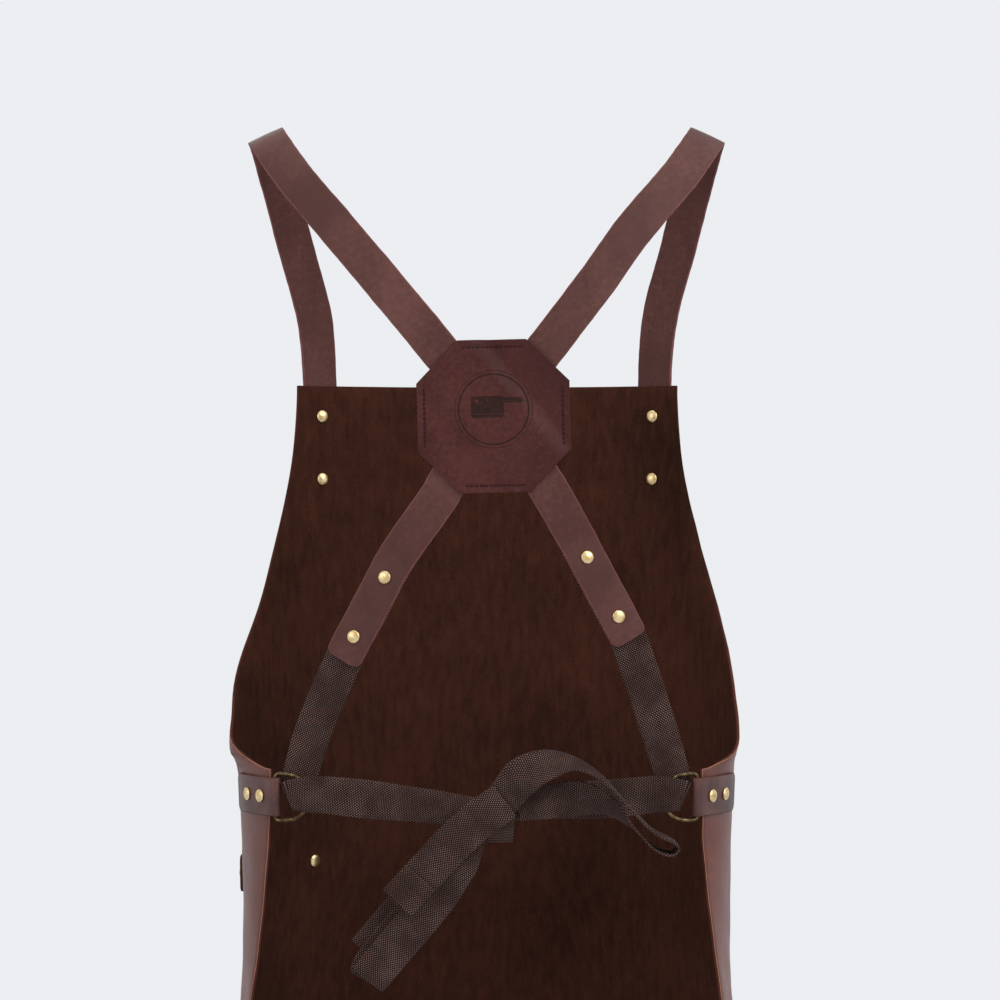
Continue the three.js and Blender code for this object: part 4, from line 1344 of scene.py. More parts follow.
@dataclass
class Hardware:
    """The D-rings, the leather tabs that hold them, and the two planes that the ties lie in."""

    panel: Panel
    wire: float = 2.5
    side_room: float = 2.6
    depth: float = 20.5
    level: float = -438.5
    swing_room: float = 0.45
    bar_reach: float = 4.5
    joint: float = 0.5
    gap: float = 0.35
    tab_width: float = 25.0
    tab_leather: float = 1.8
    tab_lap: float = 45.0
    tab_corner: float = 4.0
    tab_rivets: tuple[float, float] = (8.0, 25.0)
    tie_back: float = 103.6
    corner_bend: float = 2.5
    ring_steps: int = 150
    ring_sides: int = 16

    def __post_init__(self) -> None:
        """Work out where the bars lie and how the tie planes turn."""
        self.inside = self.tab_width + self.side_room
        bar = self.bar(Side.LEFT).at
        self.bar_x = bar.x
        self.turn = math.atan2(self.tie_back - bar.y, bar.x)

    def bar(self, side: Side) -> Place:
        """Give a ring's bar: its middle, the panel's outward way and the way past the edge."""
        edge = self.panel.girth.place(side.value * self.panel.skirt_half, self.level)
        beyond = (edge.run * side.value).normalized()
        out = Vector((edge.out.x, edge.out.y, 0)).normalized()
        return Place(edge.at + beyond * self.bar_reach, out, beyond)

    def out(self, side: Side) -> Vector:
        """Give the outward way of a tie plane."""
        return Vector((side.value * math.sin(self.turn), math.cos(self.turn), 0))

    def on_tie(self, side: Side, x: float, z: float, offset: float = 0.0) -> Vector:
        """Give a point of a tie plane, moved `offset` out."""
        y = self.tie_back - abs(x) * math.tan(self.turn)
        return Vector((side.value * x, y, z)) + self.out(side) * offset

    def ring(self, side: Side, rack: Rack) -> bpy.types.Object:
        """Bend a D-ring: its wire's two ends butt in the middle of the bar."""
        bar = self.bar(side).at
        inward = -self.out(side).cross(Vector((0, 0, side.value)))
        half = (self.inside + self.wire) / 2
        straight = self.depth + self.wire - half
        bend = self.corner_bend
        upper = [(0, self.joint / 2), (0, half * 0.5), (0, half - bend),
                 (bend * 0.3, half - bend * 0.3), (bend, half), (straight, half)]
        bow = [(straight + half * math.sin(math.pi * i / 8), half * math.cos(math.pi * i / 8))
               for i in range(1, 8)]
        outline = upper + bow + [(depth, -up) for depth, up in reversed(upper)]
        route = Route([bar + inward * depth + Vector((0, 0, up)) for depth, up in outline])
        steps, sides = self.ring_steps, self.ring_sides
        points, faces = [], []
        for i in range(steps + 1):
            at, run = route.at(i / steps)
            across = run.normalized().cross(self.out(side)).normalized()
            for k in range(sides):
                angle = 2 * math.pi * k / sides
                spoke = across * math.cos(angle) + self.out(side) * math.sin(angle)
                points.append(tuple(at + spoke * (self.wire / 2)))
        for i in range(steps):
            for k in range(sides):
                n = (k + 1) % sides
                row = i * sides
                faces.append((row + k, row + n, row + sides + n, row + sides + k))
        faces.append(tuple(range(sides - 1, -1, -1)))
        faces.append(tuple(range(steps * sides, (steps + 1) * sides)))
        piece = finished(f"ring_{side.word}", points, faces, [0] * len(faces), [rack.ring])
        return mount(piece, f"ring_{side.word}", [f"d_ring_{side.word}"])

    def tab(self, side: Side, rack: Rack) -> bpy.types.Object:
        """Fold a tab round a ring's bar, one leg on each face of the panel."""
        bar = self.bar(side)
        girth = self.panel.girth
        off = self.panel.leather / 2 + self.gap + self.tab_leather / 2
        bend = self.wire / 2 + self.swing_room + self.tab_leather / 2
        legs = {}
        for way in (1, -1):
            legs[way] = []
            lap = self.tab_lap
            for back in (lap, lap * 0.75, lap * 0.5, lap * 0.25, 4):
                place = girth.place(side.value * (self.panel.skirt_half - back), self.level)
                legs[way].append(Key(place.at + place.out * (way * off), place.out * way))
        fold = []
        for angle in (-90, -45, 0, 45, 90):
            face = bar.run * math.cos(math.radians(angle)) - bar.out * math.sin(math.radians(angle))
            fold.append(Key(bar.at + face * bend, face))
        keys = [*legs[1], *fold, *reversed(legs[-1])]
        band = Band(keys, self.tab_width, self.tab_leather, self.tab_corner, measure=3)
        piece = band.piece(f"tab_{side.word}", (rack.tab, rack.tab_cut), pitch=1.2, edge=0.5,
                           shape=self._tab_shape)
        return mount(piece, APRON, [f"ring_tab_{side.word}"])

    def _tab_shape(self, along: float, x: float, y: float) -> tuple[float, float]:
        """Waver the tab's cut edges a little."""
        edge = smooth(abs(x), 9, 12.5)
        waver = 0.16 * math.sin(along / 5.3 + x) + 0.1 * math.sin(along / 2.1)
        return (math.copysign(edge * waver, x), 0.0)

    def rivets(self, side: Side, rivets: Rivets) -> None:
        """Set a tab's two rivets."""
        stack = self.panel.leather + 2 * self.gap + 2 * self.tab_leather
        for i, back in enumerate(self.tab_rivets):
            place = self.panel.girth.place(side.value * (self.panel.skirt_half - back), self.level)
            rivets.set(f"tab_rivet_{side.word}_{i + 1}", place, stack)


# ---- Straps and patch --------------------------------------------------------------------------


@dataclass
class Harness:
    """The two leather straps that cross on the back, and the patch that holds their crossing."""

    panel: Panel
    hardware: Hardware
    width: float = 25.0
    thick: float = 3.0
    corner: float = 5.0
    shoulder_x: float = 148.0
    slope: float = 25.0
    inset: float = 6.5
    bib_lap: float = 80.0
    end_inside: float = 44.2
    end_above: float = 96.5
    slip: float = 6.5
    cross: tuple[float, float, float] = (-5.0, 97.5, -191.0)
    cross_lean: tuple[float, float] = (39.5, 37.3)
    low_turn: float = 8.0
    patch: float = 98.0
    patch_cut: float = 27.0
    patch_leather: float = 2.2
    patch_turn: float = 1.5
    flat_past: float = 5.0
    flank: tuple[float, float] = (2.5, 16.0)
    stitch_inset: float = 4.5
    stitch_end: float = 4.0
    gap: float = 0.35
    lap_room: float = 0.5
    web_thick: float = 1.5
    fold_radius: float = 2.65
    back_rivets: tuple[float, float] = (17.5, 61.5)
    bib_rivets: tuple[float, float] = (15.0, 59.0)

    @property
    def layer(self) -> float:
        """How far each strap's middle lies from the crossing's middle plane."""
        return self.thick / 2 + self.gap / 2

    def lean(self, way: int) -> float:
        """Give the angle between the vertical and the strap from the left (1) or right shoulder."""
        return math.radians(self.cross_lean[0] if way > 0 else self.cross_lean[1])

    def at_crossing(self, side: Side, far: float) -> Vector:
        """Give a point of a strap `far` up it from the crossing: straight, then turning down."""
        lean, turn = self.lean(side.value), math.radians(self.low_turn)
        reach = self.patch / 4 + self.flat_past
        past = min(far + self.patch / 4, 0)
        arc = max(past, -reach)
        turned = lean + turn * arc / (2 * reach)
        stretches = ((far - past, lean), (arc, turned), (past - arc, lean - turn))
        x = sum(length * math.sin(angle) for length, angle in stretches)
        z = sum(length * math.cos(angle) for length, angle in stretches)
        return Vector(self.cross) + Vector((side.value * x, side.value * self.layer, z))

    def strap(self, side: Side) -> Band:
        """Lay the strap that rests on this shoulder, from the bib to the other side of the back.

        Args:
            side: The shoulder's side.

        Returns:
            The strap as a band.
        """
        sign = side.value
        across = self.panel.bib_half - self.inset - self.width / 2
        lift = self.panel.leather / 2 + self.gap + self.thick / 2
        keys = []
        for part in (-1, -0.75, -0.5, -0.25, -0.04, 0.06):
            place = self.panel.girth.place(sign * across, self.panel.bib_top + part * self.bib_lap)
            keys.append(Key(place.at + place.out * lift, place.out))
        s = self.shoulder_x
        turn = math.radians(self.slope)
        over = (
            (s - 27, -86, -118, 0.36, -0.9, 0.25), (s - 15, -72, -70, 0.38, -0.8, 0.45),
            (s - 5, -45, -27, 0.4, -0.52, 0.75), (s, -14, -4, 0.42, -0.15, 0.9),
            (s, 8, -1, math.sin(turn), 0.1, math.cos(turn)), (s - 6, 32, -10, 0.38, 0.5, 0.78),
            (s - 22, 58, -33, 0.28, 0.8, 0.52), (s - 52, 79.5, -69, 0.16, 0.95, 0.3),
        )
        for x, y, z, out_x, out_y, out_z in over:
            keys.append(Key(Vector((sign * x, y, z)), Vector((sign * out_x, out_y, out_z))))
        high = self.at_crossing(side, 106)
        high.y = 92
        keys.append(Key(high, Vector((sign * 0.06, 0.99, 0.12))))
        flat = self.patch / 2 + self.flat_past
        for far in (flat + 20, flat + 8, flat, flat / 2, 0, -flat / 2, -flat, -flat - 8):
            keys.append(Key(self.at_crossing(side, far), Vector((0, 1, 0))))
        offset = self.web_thick / 2 + self.lap_room + self.thick / 2 - self.fold_radius
        lean = Vector((0.47, 0, -0.88))
        end_x = self.hardware.bar_x - self.end_inside
        end_z = self.hardware.level + self.end_above + sign * self.slip
        for back in (-74, -50, -25, 0):
            x, z = end_x + lean.x * back, end_z + lean.z * back
            at = self.hardware.on_tie(side.other, x, z, offset)
            keys.append(Key(at, self.hardware.out(side.other)))
        return Band(keys, self.width, self.thick, self.corner)

    def lay(self, side: Side, band: Band, rack: Rack) -> bpy.types.Object:
        """Make a strap's mesh, its edges cut by hand and its faces a little cupped.

        Args:
            side: The shoulder's side.
            band: The strap's route.
            rack: The materials.

        Returns:
            The strap.
        """
        phase = 1.7 * side.value

        def shape(along: float, x: float, y: float) -> tuple[float, float]:
            """Waver the edges and cup the faces."""
            edge = smooth(abs(x), 8, 12)
            waver = 0.16 * math.sin(along / 17 + phase + x / 9)
            waver += 0.09 * math.sin(along / 5.1 + phase)
            waver += 0.05 * math.sin(along / 1.9)
            free = within(along, 98, band.length - 90, 12)
            return (math.copysign(edge * waver, x), 0.28 * free * (1 - (x / 12) ** 2) - 0.1 * free)

        piece = band.piece(f"strap_{side.word}", (rack.strap, rack.strap_cut), pitch=1.6, edge=0.7,
                           columns=10, shape=shape)
        return mount(piece, APRON, [f"shoulder_strap_{side.word}"])

    def rivets(self, side: Side, band: Band, rivets: Rivets) -> None:
        """Set the rivets at both ends of a strap."""
        back = self.thick + self.lap_room + self.web_thick
        bib = self.thick + self.gap + self.panel.leather
        for i, far in enumerate(self.back_rivets):
            place = band.place(band.length - far).moved((self.thick - back) / 2)
            rivets.set(f"back_rivet_{side.other.word}_{i + 1}", place, back)
        for i, far in enumerate(self.bib_rivets):
            place = band.place(far).moved((self.thick - bib) / 2)
            rivets.set(f"front_rivet_{side.word}_{i + 1}", place, bib)

    def settled(self, x: float, z: float) -> tuple[float, float]:
        """Turn a point of the patch the way the patch has settled."""
        turn = -math.radians(self.patch_turn)
        return (x * math.cos(turn) - z * math.sin(turn), x * math.sin(turn) + z * math.cos(turn))

    def covered(self, way: int) -> tuple[np.ndarray, np.ndarray]:
        """Give the run and cross directions of the strap that a leaf covers."""
        lean = self.lean(way)
        run = np.array([way * math.sin(lean), math.cos(lean)])
        return run, np.array([run[1], -run[0]])

    def rise(self, aside: float) -> float:
        """Tell how far a leaf stands off the crossing, `aside` from the strap that it covers."""
        start, end = (self.width / 2 + past for past in self.flank)
        over = 1 - smooth(abs(aside), start, end)
        low = self.gap / 2 + self.patch_leather / 2
        high = self.layer + self.thick / 2 + self.gap + self.patch_leather / 2
        return low + (high - low) * over

    def octagon(self) -> list[tuple[float, float]]:
        """Give the patch's corners in order, as it has settled."""
        half = self.patch / 2
        straight = half - self.patch_cut
        corners = []
        for turn in range(4):
            for x, z in ((straight, half), (half, straight)):
                for _ in range(turn):
                    x, z = z, -x
                corners.append(self.settled(x, z))
        return corners

    def leaf(self, way: int, rack: Rack) -> bpy.types.Object:
        """Make one leaf of the patch, pressed over the strap that it covers.

        Args:
            way: 1 for the leaf that looks away from the wearer, -1 for the one on the back.
            rack: The materials.

        Returns:
            The leaf.
        """
        run, cross = self.covered(way)
        corners = [np.array(corner) for corner in self.octagon()]
        asides = [float(corner @ cross) for corner in corners]
        tip = max(asides) - 0.25
        fine = np.linspace(-tip, tip, 130)
        rows = sorted({*fine.tolist(), *[a for a in asides if abs(a) < tip]})
        parts = np.linspace(0, 1, 120)
        middle = np.zeros((len(rows), len(parts), 3))
        for i, aside in enumerate(rows):
            hits = []
            for k, corner in enumerate(corners):
                after = (k + 1) % len(corners)
                part = (aside - asides[k]) / (asides[after] - asides[k])
                if 0 <= part <= 1:
                    hits.append(float((corner + (corners[after] - corner) * part) @ run))
            low, high = min(hits), max(hits)
            along = low + (high - low) * parts
            spot = cross[None, :] * aside + run[None, :] * along[:, None]
            lift = self.rise(aside) + self._settling(spot, way)
            middle[i, :, 0] = self.cross[0] + spot[:, 0]
            middle[i, :, 1] = self.cross[1] + way * lift
            middle[i, :, 2] = self.cross[2] + spot[:, 1]
        normal = np.cross(np.gradient(middle, axis=0), np.gradient(middle, axis=1))
        normal /= np.maximum(np.linalg.norm(normal, axis=-1, keepdims=True), 1e-9)
        normal *= np.sign(normal[..., 1:2] * way)
        names = {1: "outer", -1: "inner"}
        materials = (rack.patch if way > 0 else rack.patch_cut, rack.patch_cut, rack.patch_cut,
                     rack.patch_cut)
        piece = sheet_piece(f"patch_{names[way]}", middle, normal, self.patch_leather, materials,
                            0.25)
        return mount(piece, APRON, [f"back_patch_{names[way]}"])

    def _settling(self, spot: np.ndarray, way: int) -> np.ndarray:
        """Give the leaf's small unevenness: a soft buckle, and lips past the stitch rows."""
        x, z = spot[:, 0], spot[:, 1]
        buckle = 0.16 * np.sin(x / 7.5 + 1) * np.sin(z / 9.5) + 0.1 * np.sin(x / 3.7 - z / 4.9)
        reach = np.maximum(np.abs(x), np.abs(z))
        lip = smooth(reach, self.patch / 2 - 3.6, self.patch / 2) * 0.35
        channel = -0.28 * within(reach, self.patch / 2 - self.stitch_inset - 0.5,
                                 self.patch / 2 - self.stitch_inset + 0.5, 0.8)
        stitched = 1 - smooth(np.minimum(np.abs(x), np.abs(z)), 17, 20)
        return np.maximum(buckle, -0.05) + (lip + channel * (way > 0)) * stitched

    def stitches(self, rack: Rack) -> bpy.types.Object:
        """Sew the four rows that hold the patch's leaves together."""
        reach = self.patch / 2 - self.stitch_inset
        row = self.patch - 2 * self.patch_cut - 2 * self.stitch_end
        _, cross = self.covered(1)
        lift = self.patch_leather / 2 + 0.12
        lines = []
        for turn in range(4):
            line = []
            for k in range(49):
                x, z = (k / 48 - 0.5) * row, reach
                for _ in range(turn):
                    x, z = z, -x
                x, z = self.settled(x, z)
                out = self.rise(float(np.array([x, z]) @ cross)) + lift
                line.append(Vector((self.cross[0] + x, self.cross[1] + out, self.cross[2] + z)))
            lines.append(line)
        piece = Stitcher(length=row / 12).row("patch_stitches", lines, rack.thread)
        words = ("top", "left", "bottom", "right")
        return mount(piece, APRON, [f"patch_stitch_{word}" for word in words])


# ---- Webbing -----------------------------------------------------------------------------------


@dataclass
class Ties:
    """The two lengths of webbing: each runs through a ring to the bow behind the waist."""

    hardware: Hardware
    harness: Harness
    width: float = 25.0
    thick: float = 1.5
    lap: float = 70.0
    lap_room: float = 0.5
    fold_room: float = 0.65
    fold_to_tab: float = 0.25
    fold_above: float = 1.5
    fold_lean: float = 23.6
    fold_tuck: float = 2.5
    gather: float = 3.5
    rib: float = 2.3
    knot_size: tuple[float, float, float] = (17.0, 14.0, 36.0)
    hem: float = 21.0
    gives_from: float = 96.0
    gives_to: float = 121.0
    gives_at: float = -438.0

    @property
    def radius(self) -> float:
        """Radius of the webbing's middle where it turns round the ring's wire."""
        return self.hardware.wire / 2 + self.fold_room + self.thick / 2

    @property
    def knot_at(self) -> Vector:
        """The middle of the knot."""
        return Vector((-10.5, self.hardware.tie_back + self.radius, -446))

    def fold_inside(self) -> float:
        """Give the way from the ring's bar to the fold, whose top corner clears the tab."""
        tab = self.hardware.wire / 2 + self.hardware.swing_room + self.hardware.tab_leather
        corner = (self.width / 2 - self.fold_tuck) * math.sin(math.radians(self.fold_lean))
        return tab + self.fold_to_tab + corner + self.radius + self.thick / 2

    def run(self, side: Side, strap: Band) -> Band:
        """Lead the webbing from under a strap's end, through the ring and back to the knot.

        Args:
            side: The ring's side.
            strap: The strap whose low end is on this side.

        Returns:
            The webbing as a band.
        """
        keys = []
        under = self.harness.thick / 2 + self.lap_room + self.thick / 2
        for part in (1, 0.8, 0.6, 0.4, 0.2, 0.03):
            place = strap.place(strap.length - part * self.lap).moved(-under)
            keys.append(Key(place.at, -place.out))
        hardware, radius, full = self.hardware, self.radius, self.width / 2
        normal = hardware.out(side)
        fold_x = hardware.bar_x - self.fold_inside() * math.cos(hardware.turn)
        fold_z = hardware.level + self.fold_above
        lean = math.radians(self.fold_lean)
        outward = (hardware.on_tie(side, 1, 0) - hardware.on_tie(side, 0, 0)).normalized()
        away = outward * math.cos(lean) - Vector((0, 0, math.sin(lean)))

        def flat(x: float, z: float, way: int, tuck: float = 0.0) -> Key:
            """Give a key on one side of the tie plane."""
            return Key(hardware.on_tie(side, x, z, way * radius), normal * way, full - tuck)

        keys += [flat(fold_x - 13, fold_z + 40, -1), flat(fold_x - 6, fold_z + 17, -1, 0.5)]
        for angle in (-90, -45, 0, 45, 90):
            face = away * math.cos(math.radians(angle)) + normal * math.sin(math.radians(angle))
            at = hardware.on_tie(side, fold_x, fold_z) + face * radius
            keys.append(Key(at, face, full - self.fold_tuck))
        knot_z = self.knot_at.z + (0 if side is Side.LEFT else 5)
        wide = self.knot_size[0]
        last = abs(self.knot_at.x + side.value * (wide / 2 - 3.5))
        keys += [flat(fold_x - 16, fold_z + 1, 1, 0.5), flat(fold_x * 0.63, fold_z - 1, 1)]
        keys.append(flat(fold_x * 0.3, (fold_z + knot_z) / 2, 1, 1.5))
        end = flat(-last if side is Side.LEFT else last, knot_z, 1, self.gather)
        end.at.y = hardware.tie_back + radius
        return Band([*keys, end], self.width, self.thick)

    def woven(self, phase: float, curl: float = 0.0) -> Shape:
        """Give the small relief of the weave and a soft curl across the band.

        Args:
            phase: Sets one piece's unevenness apart from another's.
            curl: How far the middle stands out from the edges.

        Returns:
            The shape for a band.
        """
        def shape(along: float, x: float, y: float) -> tuple[float, float]:
            """Notch the selvage, raise the ribs and curl the band."""
            edge = smooth(abs(x), self.width / 2 - 2.5, self.width / 2 - 0.5)
            beat = math.sin(2 * math.pi * along / self.rib)
            slow = math.sin(along / 21 + phase) * 0.25 + math.sin(along / 9.3 - phase) * 0.12
            dx = math.copysign(edge * (0.12 * beat + 0.5 * slow), x)
            dy = math.copysign(0.05 * beat, y) + curl * (1 - (x / (self.width / 2)) ** 2)
            return (dx, dy + 0.25 * slow * math.sin(x / 5 + phase))
        return shape

    def weave(self, name: str, band: Band, nodes: Sequence[str], rack: Rack, phase: float,
              curl: float = 0.0, body: str | None = APRON) -> bpy.types.Object:
        """Make a webbing's mesh and mount it.

        Args:
            name: The piece's name.
            band: Its route.
            nodes: The plain solids that it replaces.
            rack: The materials.
            phase: Sets its unevenness apart.
            curl: How far it curls across.
            body: The body that it moves with, or nothing for a run that spans two bodies, which is
                left unattached.

        Returns:
            The webbing.
        """
        piece = band.piece(name, (rack.webbing, rack.webbing), pitch=self.rib / 4, edge=0.68,
                           columns=6, shape=self.woven(phase, curl))
        return mount(piece, body, nodes)

    def step(self, at: tuple, out: tuple, half: float | None = None) -> Key:
        """Give a key of the bow, measured from the knot's middle."""
        return Key(self.knot_at + Vector(at), Vector(out), half)

    def loop_right(self) -> Band:
        """Route the bow's loop that arches over and comes down on the wearer's right."""
        step = self.step
        keys = [
            step((5.5, 7.9, 3.5), (0, 1, 0), 11),
            step((-3, 8.2, 13.5), (0, 1, 0), 11.5),
            step((-12.5, 11.0, 25), (-0.1, 0.95, 0.3)),
            step((-28.5, 14, 33), (-0.1, 0.7, 0.7)),
            step((-45.5, 13, 34), (-0.25, 0.25, 0.95)),
            step((-62.5, 11, 25), (-0.6, 0.05, 0.8)),
            step((-79.5, 9, 7), (-0.7, 0, 0.7)),
            step((-96.5, 7, -10), (-0.65, 0, 0.75)),
            step((-108, 6, -16), (-0.5, 0, 0.85)),
            step((-112, 6, -20), (-1, 0, -0.1)),
            step((-108.5, 6, -24), (-0.3, 0, -0.95)),
            step((-97.5, 6, -21), (0.5, 0, -0.85)),
            step((-82.5, 7, -7), (0.75, 0.1, -0.65)),
            step((-67.5, 7, 6), (0.5, 0.5, -0.7)),
            step((-49.5, 6.5, 11), (0.1, 0.9, -0.4)),
            step((-29.5, 5.5, 9), (0, 1, 0), 11),
            step((-10, 4, 5), (0, 1, 0), self.width / 2 - self.gather),
        ]
        return Band(keys, self.width, self.thick)

    def loop_left(self) -> Band:
        """Route the bow's loop that hangs down on the wearer's left."""
        step = self.step
        keys = [
            step((15.5, 3, -13), (0, 1, 0), 6),
            step((27, 6, -32), (0.1, 1, 0), 11),
            step((43.5, 6.5, -54), (0, 1, 0)),
            step((62.5, 6, -77), (0, 1, 0)),
            step((78.5, 4.5, -96), (0, 1, -0.1)),
            step((86.5, 1.5, -105.5), (0.6, 0, -0.8)),
            step((82, -2.8, -95), (0, -1, 0.1)),
            step((63.5, -3.2, -72.5), (0, -1, 0)),
            step((40, -2.8, -46.8), (0, -1, 0)),
            step((20.5, -2.5, -24), (0, -1, 0), 7),
        ]
        return Band(keys, self.width, self.thick)

    def tail_upper(self) -> Band:
        """Route the tail that lies over the knot and ends in a sewn hem."""
        step = self.step
        keys = [
            step((-1.5, 11.4, 10), (0, 1, 0.1), 12),
            step((4.5, 11.4, 5.5), (0, 1, 0.05), 12.5),
            step((13, 11.4, -0.5), (0, 1, 0)),
            step((28.5, 11.5, -14), (0, 1, 0.1)),
            step((46.5, 11.5, -33), (0, 1, 0.05)),
            step((66, 11, -54), (0, 1, 0)),
        ]
        return Band(keys, self.width, self.thick)

    def tail_lower(self) -> Band:
        """Route the tail that hangs behind the bow."""
        step = self.step
        keys = [
            step((24.5, -7, -24), (0, 1, 0), 7),
            step((42.5, -6.5, -40), (0, 1, 0)),
            step((65, -6, -63), (0, 1, 0)),
            step((87, -6, -89), (0, 1, 0)),
        ]
        return Band(keys, self.width, self.thick)

    def knot(self) -> Band:
        """Route the turn of webbing that wraps the knot's middle."""
        _, deep, tall = self.knot_size
        keys = []
        for k in range(13):
            angle = math.radians(-105 + k * 32.5)
            up = math.sin(angle)
            spot = (0.6 * k - 2.5 - 3.5 * up, math.cos(angle) * (deep / 2 - 1.2),
                    up * (tall / 2 - 1.2))
            out = (0, math.cos(angle), up * 0.7)
            keys.append(self.step(spot, out, 7.5 + 0.8 * math.sin(k)))
        return Band(keys, self.width, self.thick)

    def build_bow(self, rack: Rack) -> None:
        """Make the bow: the knot, two loops and two tails, the upper tail hemmed."""
        self.weave("bow_loop_right", self.loop_right(), ["tie_loop_right"], rack, 0.4)
        self.weave("bow_loop_left", self.loop_left(), ["tie_loop_left"], rack, 1.9)
        tail = self.tail_upper()
        self.weave("bow_tail_upper", tail, ["tie_tail_upper"], rack, 3.1, 0.2)
        self.weave("bow_tail_lower", self.tail_lower(), ["tie_tail_lower"], rack, 4.4)
        self.weave("bow_knot", self.knot(), ["tie_knot"], rack, 5.2, 0.6)
        self.build_hem(tail, rack)

    def build_hem(self, tail: Band, rack: Rack) -> None:
        """Fold the upper tail's end back on itself and sew it across.

        Args:
            tail: The upper tail.
            rack: The materials.
        """
        lift = self.thick + 0.25
        keys = []
        for back in (self.hem, self.hem * 0.66, self.hem * 0.33, 1.5):
            place = tail.place(tail.length - back).moved(lift)
            keys.append(Key(place.at, place.out))
        end = tail.place(tail.length)
        for angle in (60, 0, -60):
            face = end.run * math.cos(math.radians(angle)) + end.out * math.sin(math.radians(angle))
            keys.append(Key(end.at + end.out * (lift / 2) + face * (lift / 2), face))
        hem = Band(keys, self.width - 0.4, self.thick)
        self.weave("bow_tail_hem", hem, [], rack, 2.2)
        place = tail.place(tail.length - self.hem + 3).moved(lift + self.thick / 2 + 0.1)
        line = [place.at + place.across * ((k / 24 - 0.5) * (self.width - 3)) for k in range(25)]
        sewn = Stitcher(length=2.4, thread=0.6).row("hem_stitches", [line], rack.hem_thread)
        mount(sewn, APRON, [])


# ---- Towel loop --------------------------------------------------------------------------------


@dataclass
class TowelLoop:
    """The leather loop at the wearer's left hip that a towel hangs from."""

    panel: Panel
    level: float = -497.0
    width: float = 25.0
    leather: float = 2.2
    start: float = 122.0
    end: float = 222.0
    inset: float = 9.0
    stand: float = 16.0
    corner: float = 4.0
    room: float = 0.55

    def build(self, rack: Rack, rivets: Rivets) -> bpy.types.Object:
        """Make the loop and set its two rivets.

        Args:
            rack: The materials.
            rivets: The rivets to add to.

        Returns:
            The loop.
        """
        keys = []
        for part in (0, 0.09, 0.18, 0.3, 0.5, 0.7, 0.82, 0.91, 1):
            place = self.panel.girth.place(self.start + (self.end - self.start) * part, self.level)
            flat = self.panel.leather / 2 + self.room + self.leather / 2
            off = flat + (self.stand - flat) * smooth(min(part, 1 - part), 0.16, 0.4)
            keys.append(Key(place.at + place.out * off, place.out))
        band = Band(keys, self.width, self.leather, self.corner)
        stack = self.panel.leather + self.room + self.leather
        for i, s in enumerate((self.start + self.inset, self.end - self.inset)):
            place = self.panel.girth.place(s, self.level).moved((stack - self.panel.leather) / 2)
            rivets.set(f"loop_rivet_{i + 1}", place, stack)
        piece = band.piece("towel_holder", (rack.tab, rack.tab_cut), pitch=1.2, edge=0.55)
        return mount(piece, APRON, ["towel_loop"])


# ---- Studio ------------------------------------------------------------------------------------


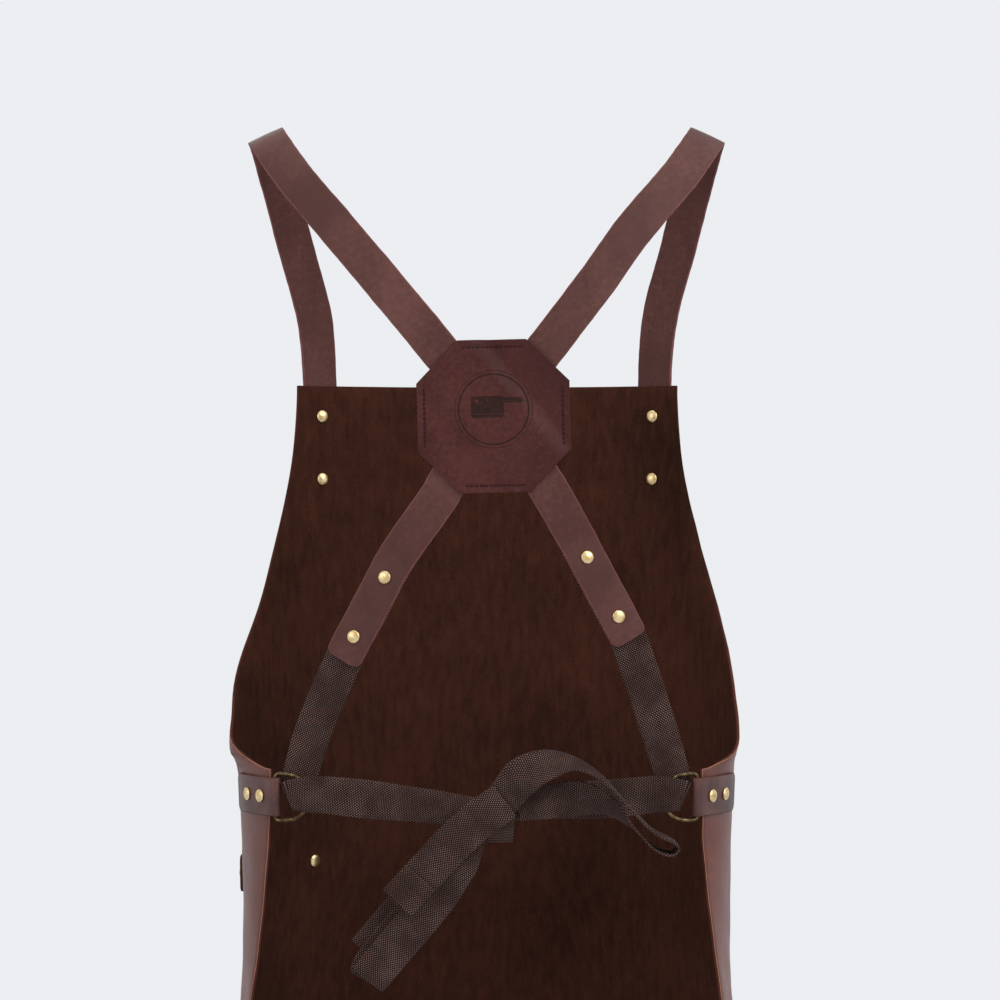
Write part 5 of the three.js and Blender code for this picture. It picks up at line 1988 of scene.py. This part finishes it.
@dataclass
class Studio:
    """The camera behind the wearer, the soft lights and the pale floor, in metres."""

    camera_at: tuple[float, float, float] = (-0.009, 2.105, -0.2447)
    lens: float = 112.5
    sensor: float = 36.0
    floor_below: float = 0.35
    floor_radius: float = 4.0
    sky_strength: float = 0.96
    aim: tuple[float, float, float] = (0.0, 0.0, -0.4)

    def build(self) -> None:
        """Set up the camera, the floor, the lights and the surroundings."""
        data = bpy.data.cameras.new("camera")
        data.lens = self.lens
        data.sensor_width = self.sensor
        data.clip_end = 50.0
        camera = bpy.data.objects.new("camera", data)
        camera.location = self.camera_at
        camera.rotation_euler = (math.pi / 2, 0.0, math.pi)
        bpy.context.scene.collection.objects.link(camera)
        bpy.context.scene.camera = camera
        bpy.context.scene.view_settings.view_transform = "Standard"
        self._floor()
        self._light("window", (-1.9, 1.6, 1.1), 1.8, 34.0)
        self._light("fill", (2.1, 1.9, 0.5), 1.6, 16.0)
        self._light("top", (0.0, 0.3, 2.2), 1.8, 16.0)
        self._light("front", (0.6, -2.4, 0.6), 1.6, 14.0)
        world = bpy.data.worlds.new("surroundings")
        world.use_nodes = True
        sky = world.node_tree.nodes["Background"]
        sky.inputs["Color"].default_value = paint(240, 242, 246)
        sky.inputs["Strength"].default_value = self.sky_strength
        bpy.context.scene.world = world

    def _floor(self) -> None:
        """Lay a round pale floor well below the hem."""
        low = CAD_BOX[0][2] - self.floor_below
        turns = [2 * math.pi * k / FLOOR_SIDES for k in range(FLOOR_SIDES)]
        ring = [(self.floor_radius * math.cos(turn), self.floor_radius * math.sin(turn), low)
                for turn in turns]
        mesh = bpy.data.meshes.new("floor")
        mesh.from_pydata(ring, [], [tuple(range(FLOOR_SIDES))])
        material = bpy.data.materials.new("floor_pale")
        material.use_nodes = True
        shader = material.node_tree.nodes["Principled BSDF"]
        shader.inputs["Base Color"].default_value = paint(206, 208, 211)
        shader.inputs["Roughness"].default_value = 0.9
        mesh.materials.append(material)
        floor = bpy.data.objects.new("floor", mesh)
        bpy.context.scene.collection.objects.link(floor)

    def _light(self, name: str, at: tuple[float, float, float], size: float, watts: float) -> None:
        """Hang a soft square light that looks at the apron's middle."""
        data = bpy.data.lights.new(name, "AREA")
        data.size = size
        data.energy = watts
        light = bpy.data.objects.new(name, data)
        light.location = at
        light.rotation_euler = (Vector(self.aim) - Vector(at)).to_track_quat("-Z", "Y").to_euler()
        bpy.context.scene.collection.objects.link(light)


def main() -> None:
    """Make the studio and every piece of the apron."""
    logging.basicConfig(level=logging.INFO, format="%(name)s: %(message)s")
    Studio().build()
    panel = Panel(Girth())
    hardware = Hardware(panel)
    harness = Harness(panel, hardware)
    ties = Ties(hardware, harness)
    rivets = Rivets()
    rack = Rack(harness.cross, harness.patch_turn)
    panel.build(rack)
    for side in Side:
        strap = harness.strap(side)
        harness.lay(side, strap, rack)
        harness.rivets(side, strap, rivets)
        low = side.other
        run = ties.weave(f"tie_{low.word}", ties.run(low, strap), [f"tie_run_{low.word}"], rack,
                         2.6 * side.value, body=None)
        start, end = (tuple(hardware.on_tie(low, x, ties.gives_at) * MM)
                      for x in (ties.gives_from, ties.gives_to))
        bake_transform(run)
        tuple(start)
        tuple(end)
        hardware.tab(side, rack)
        hardware.ring(side, rack)
        hardware.rivets(side, rivets)
    for way in (1, -1):
        harness.leaf(way, rack)
    harness.stitches(rack)
    ties.build_bow(rack)
    TowelLoop(panel).build(rack, rivets)
    rivets.build(rack)


if __name__ == "__main__":
    main()
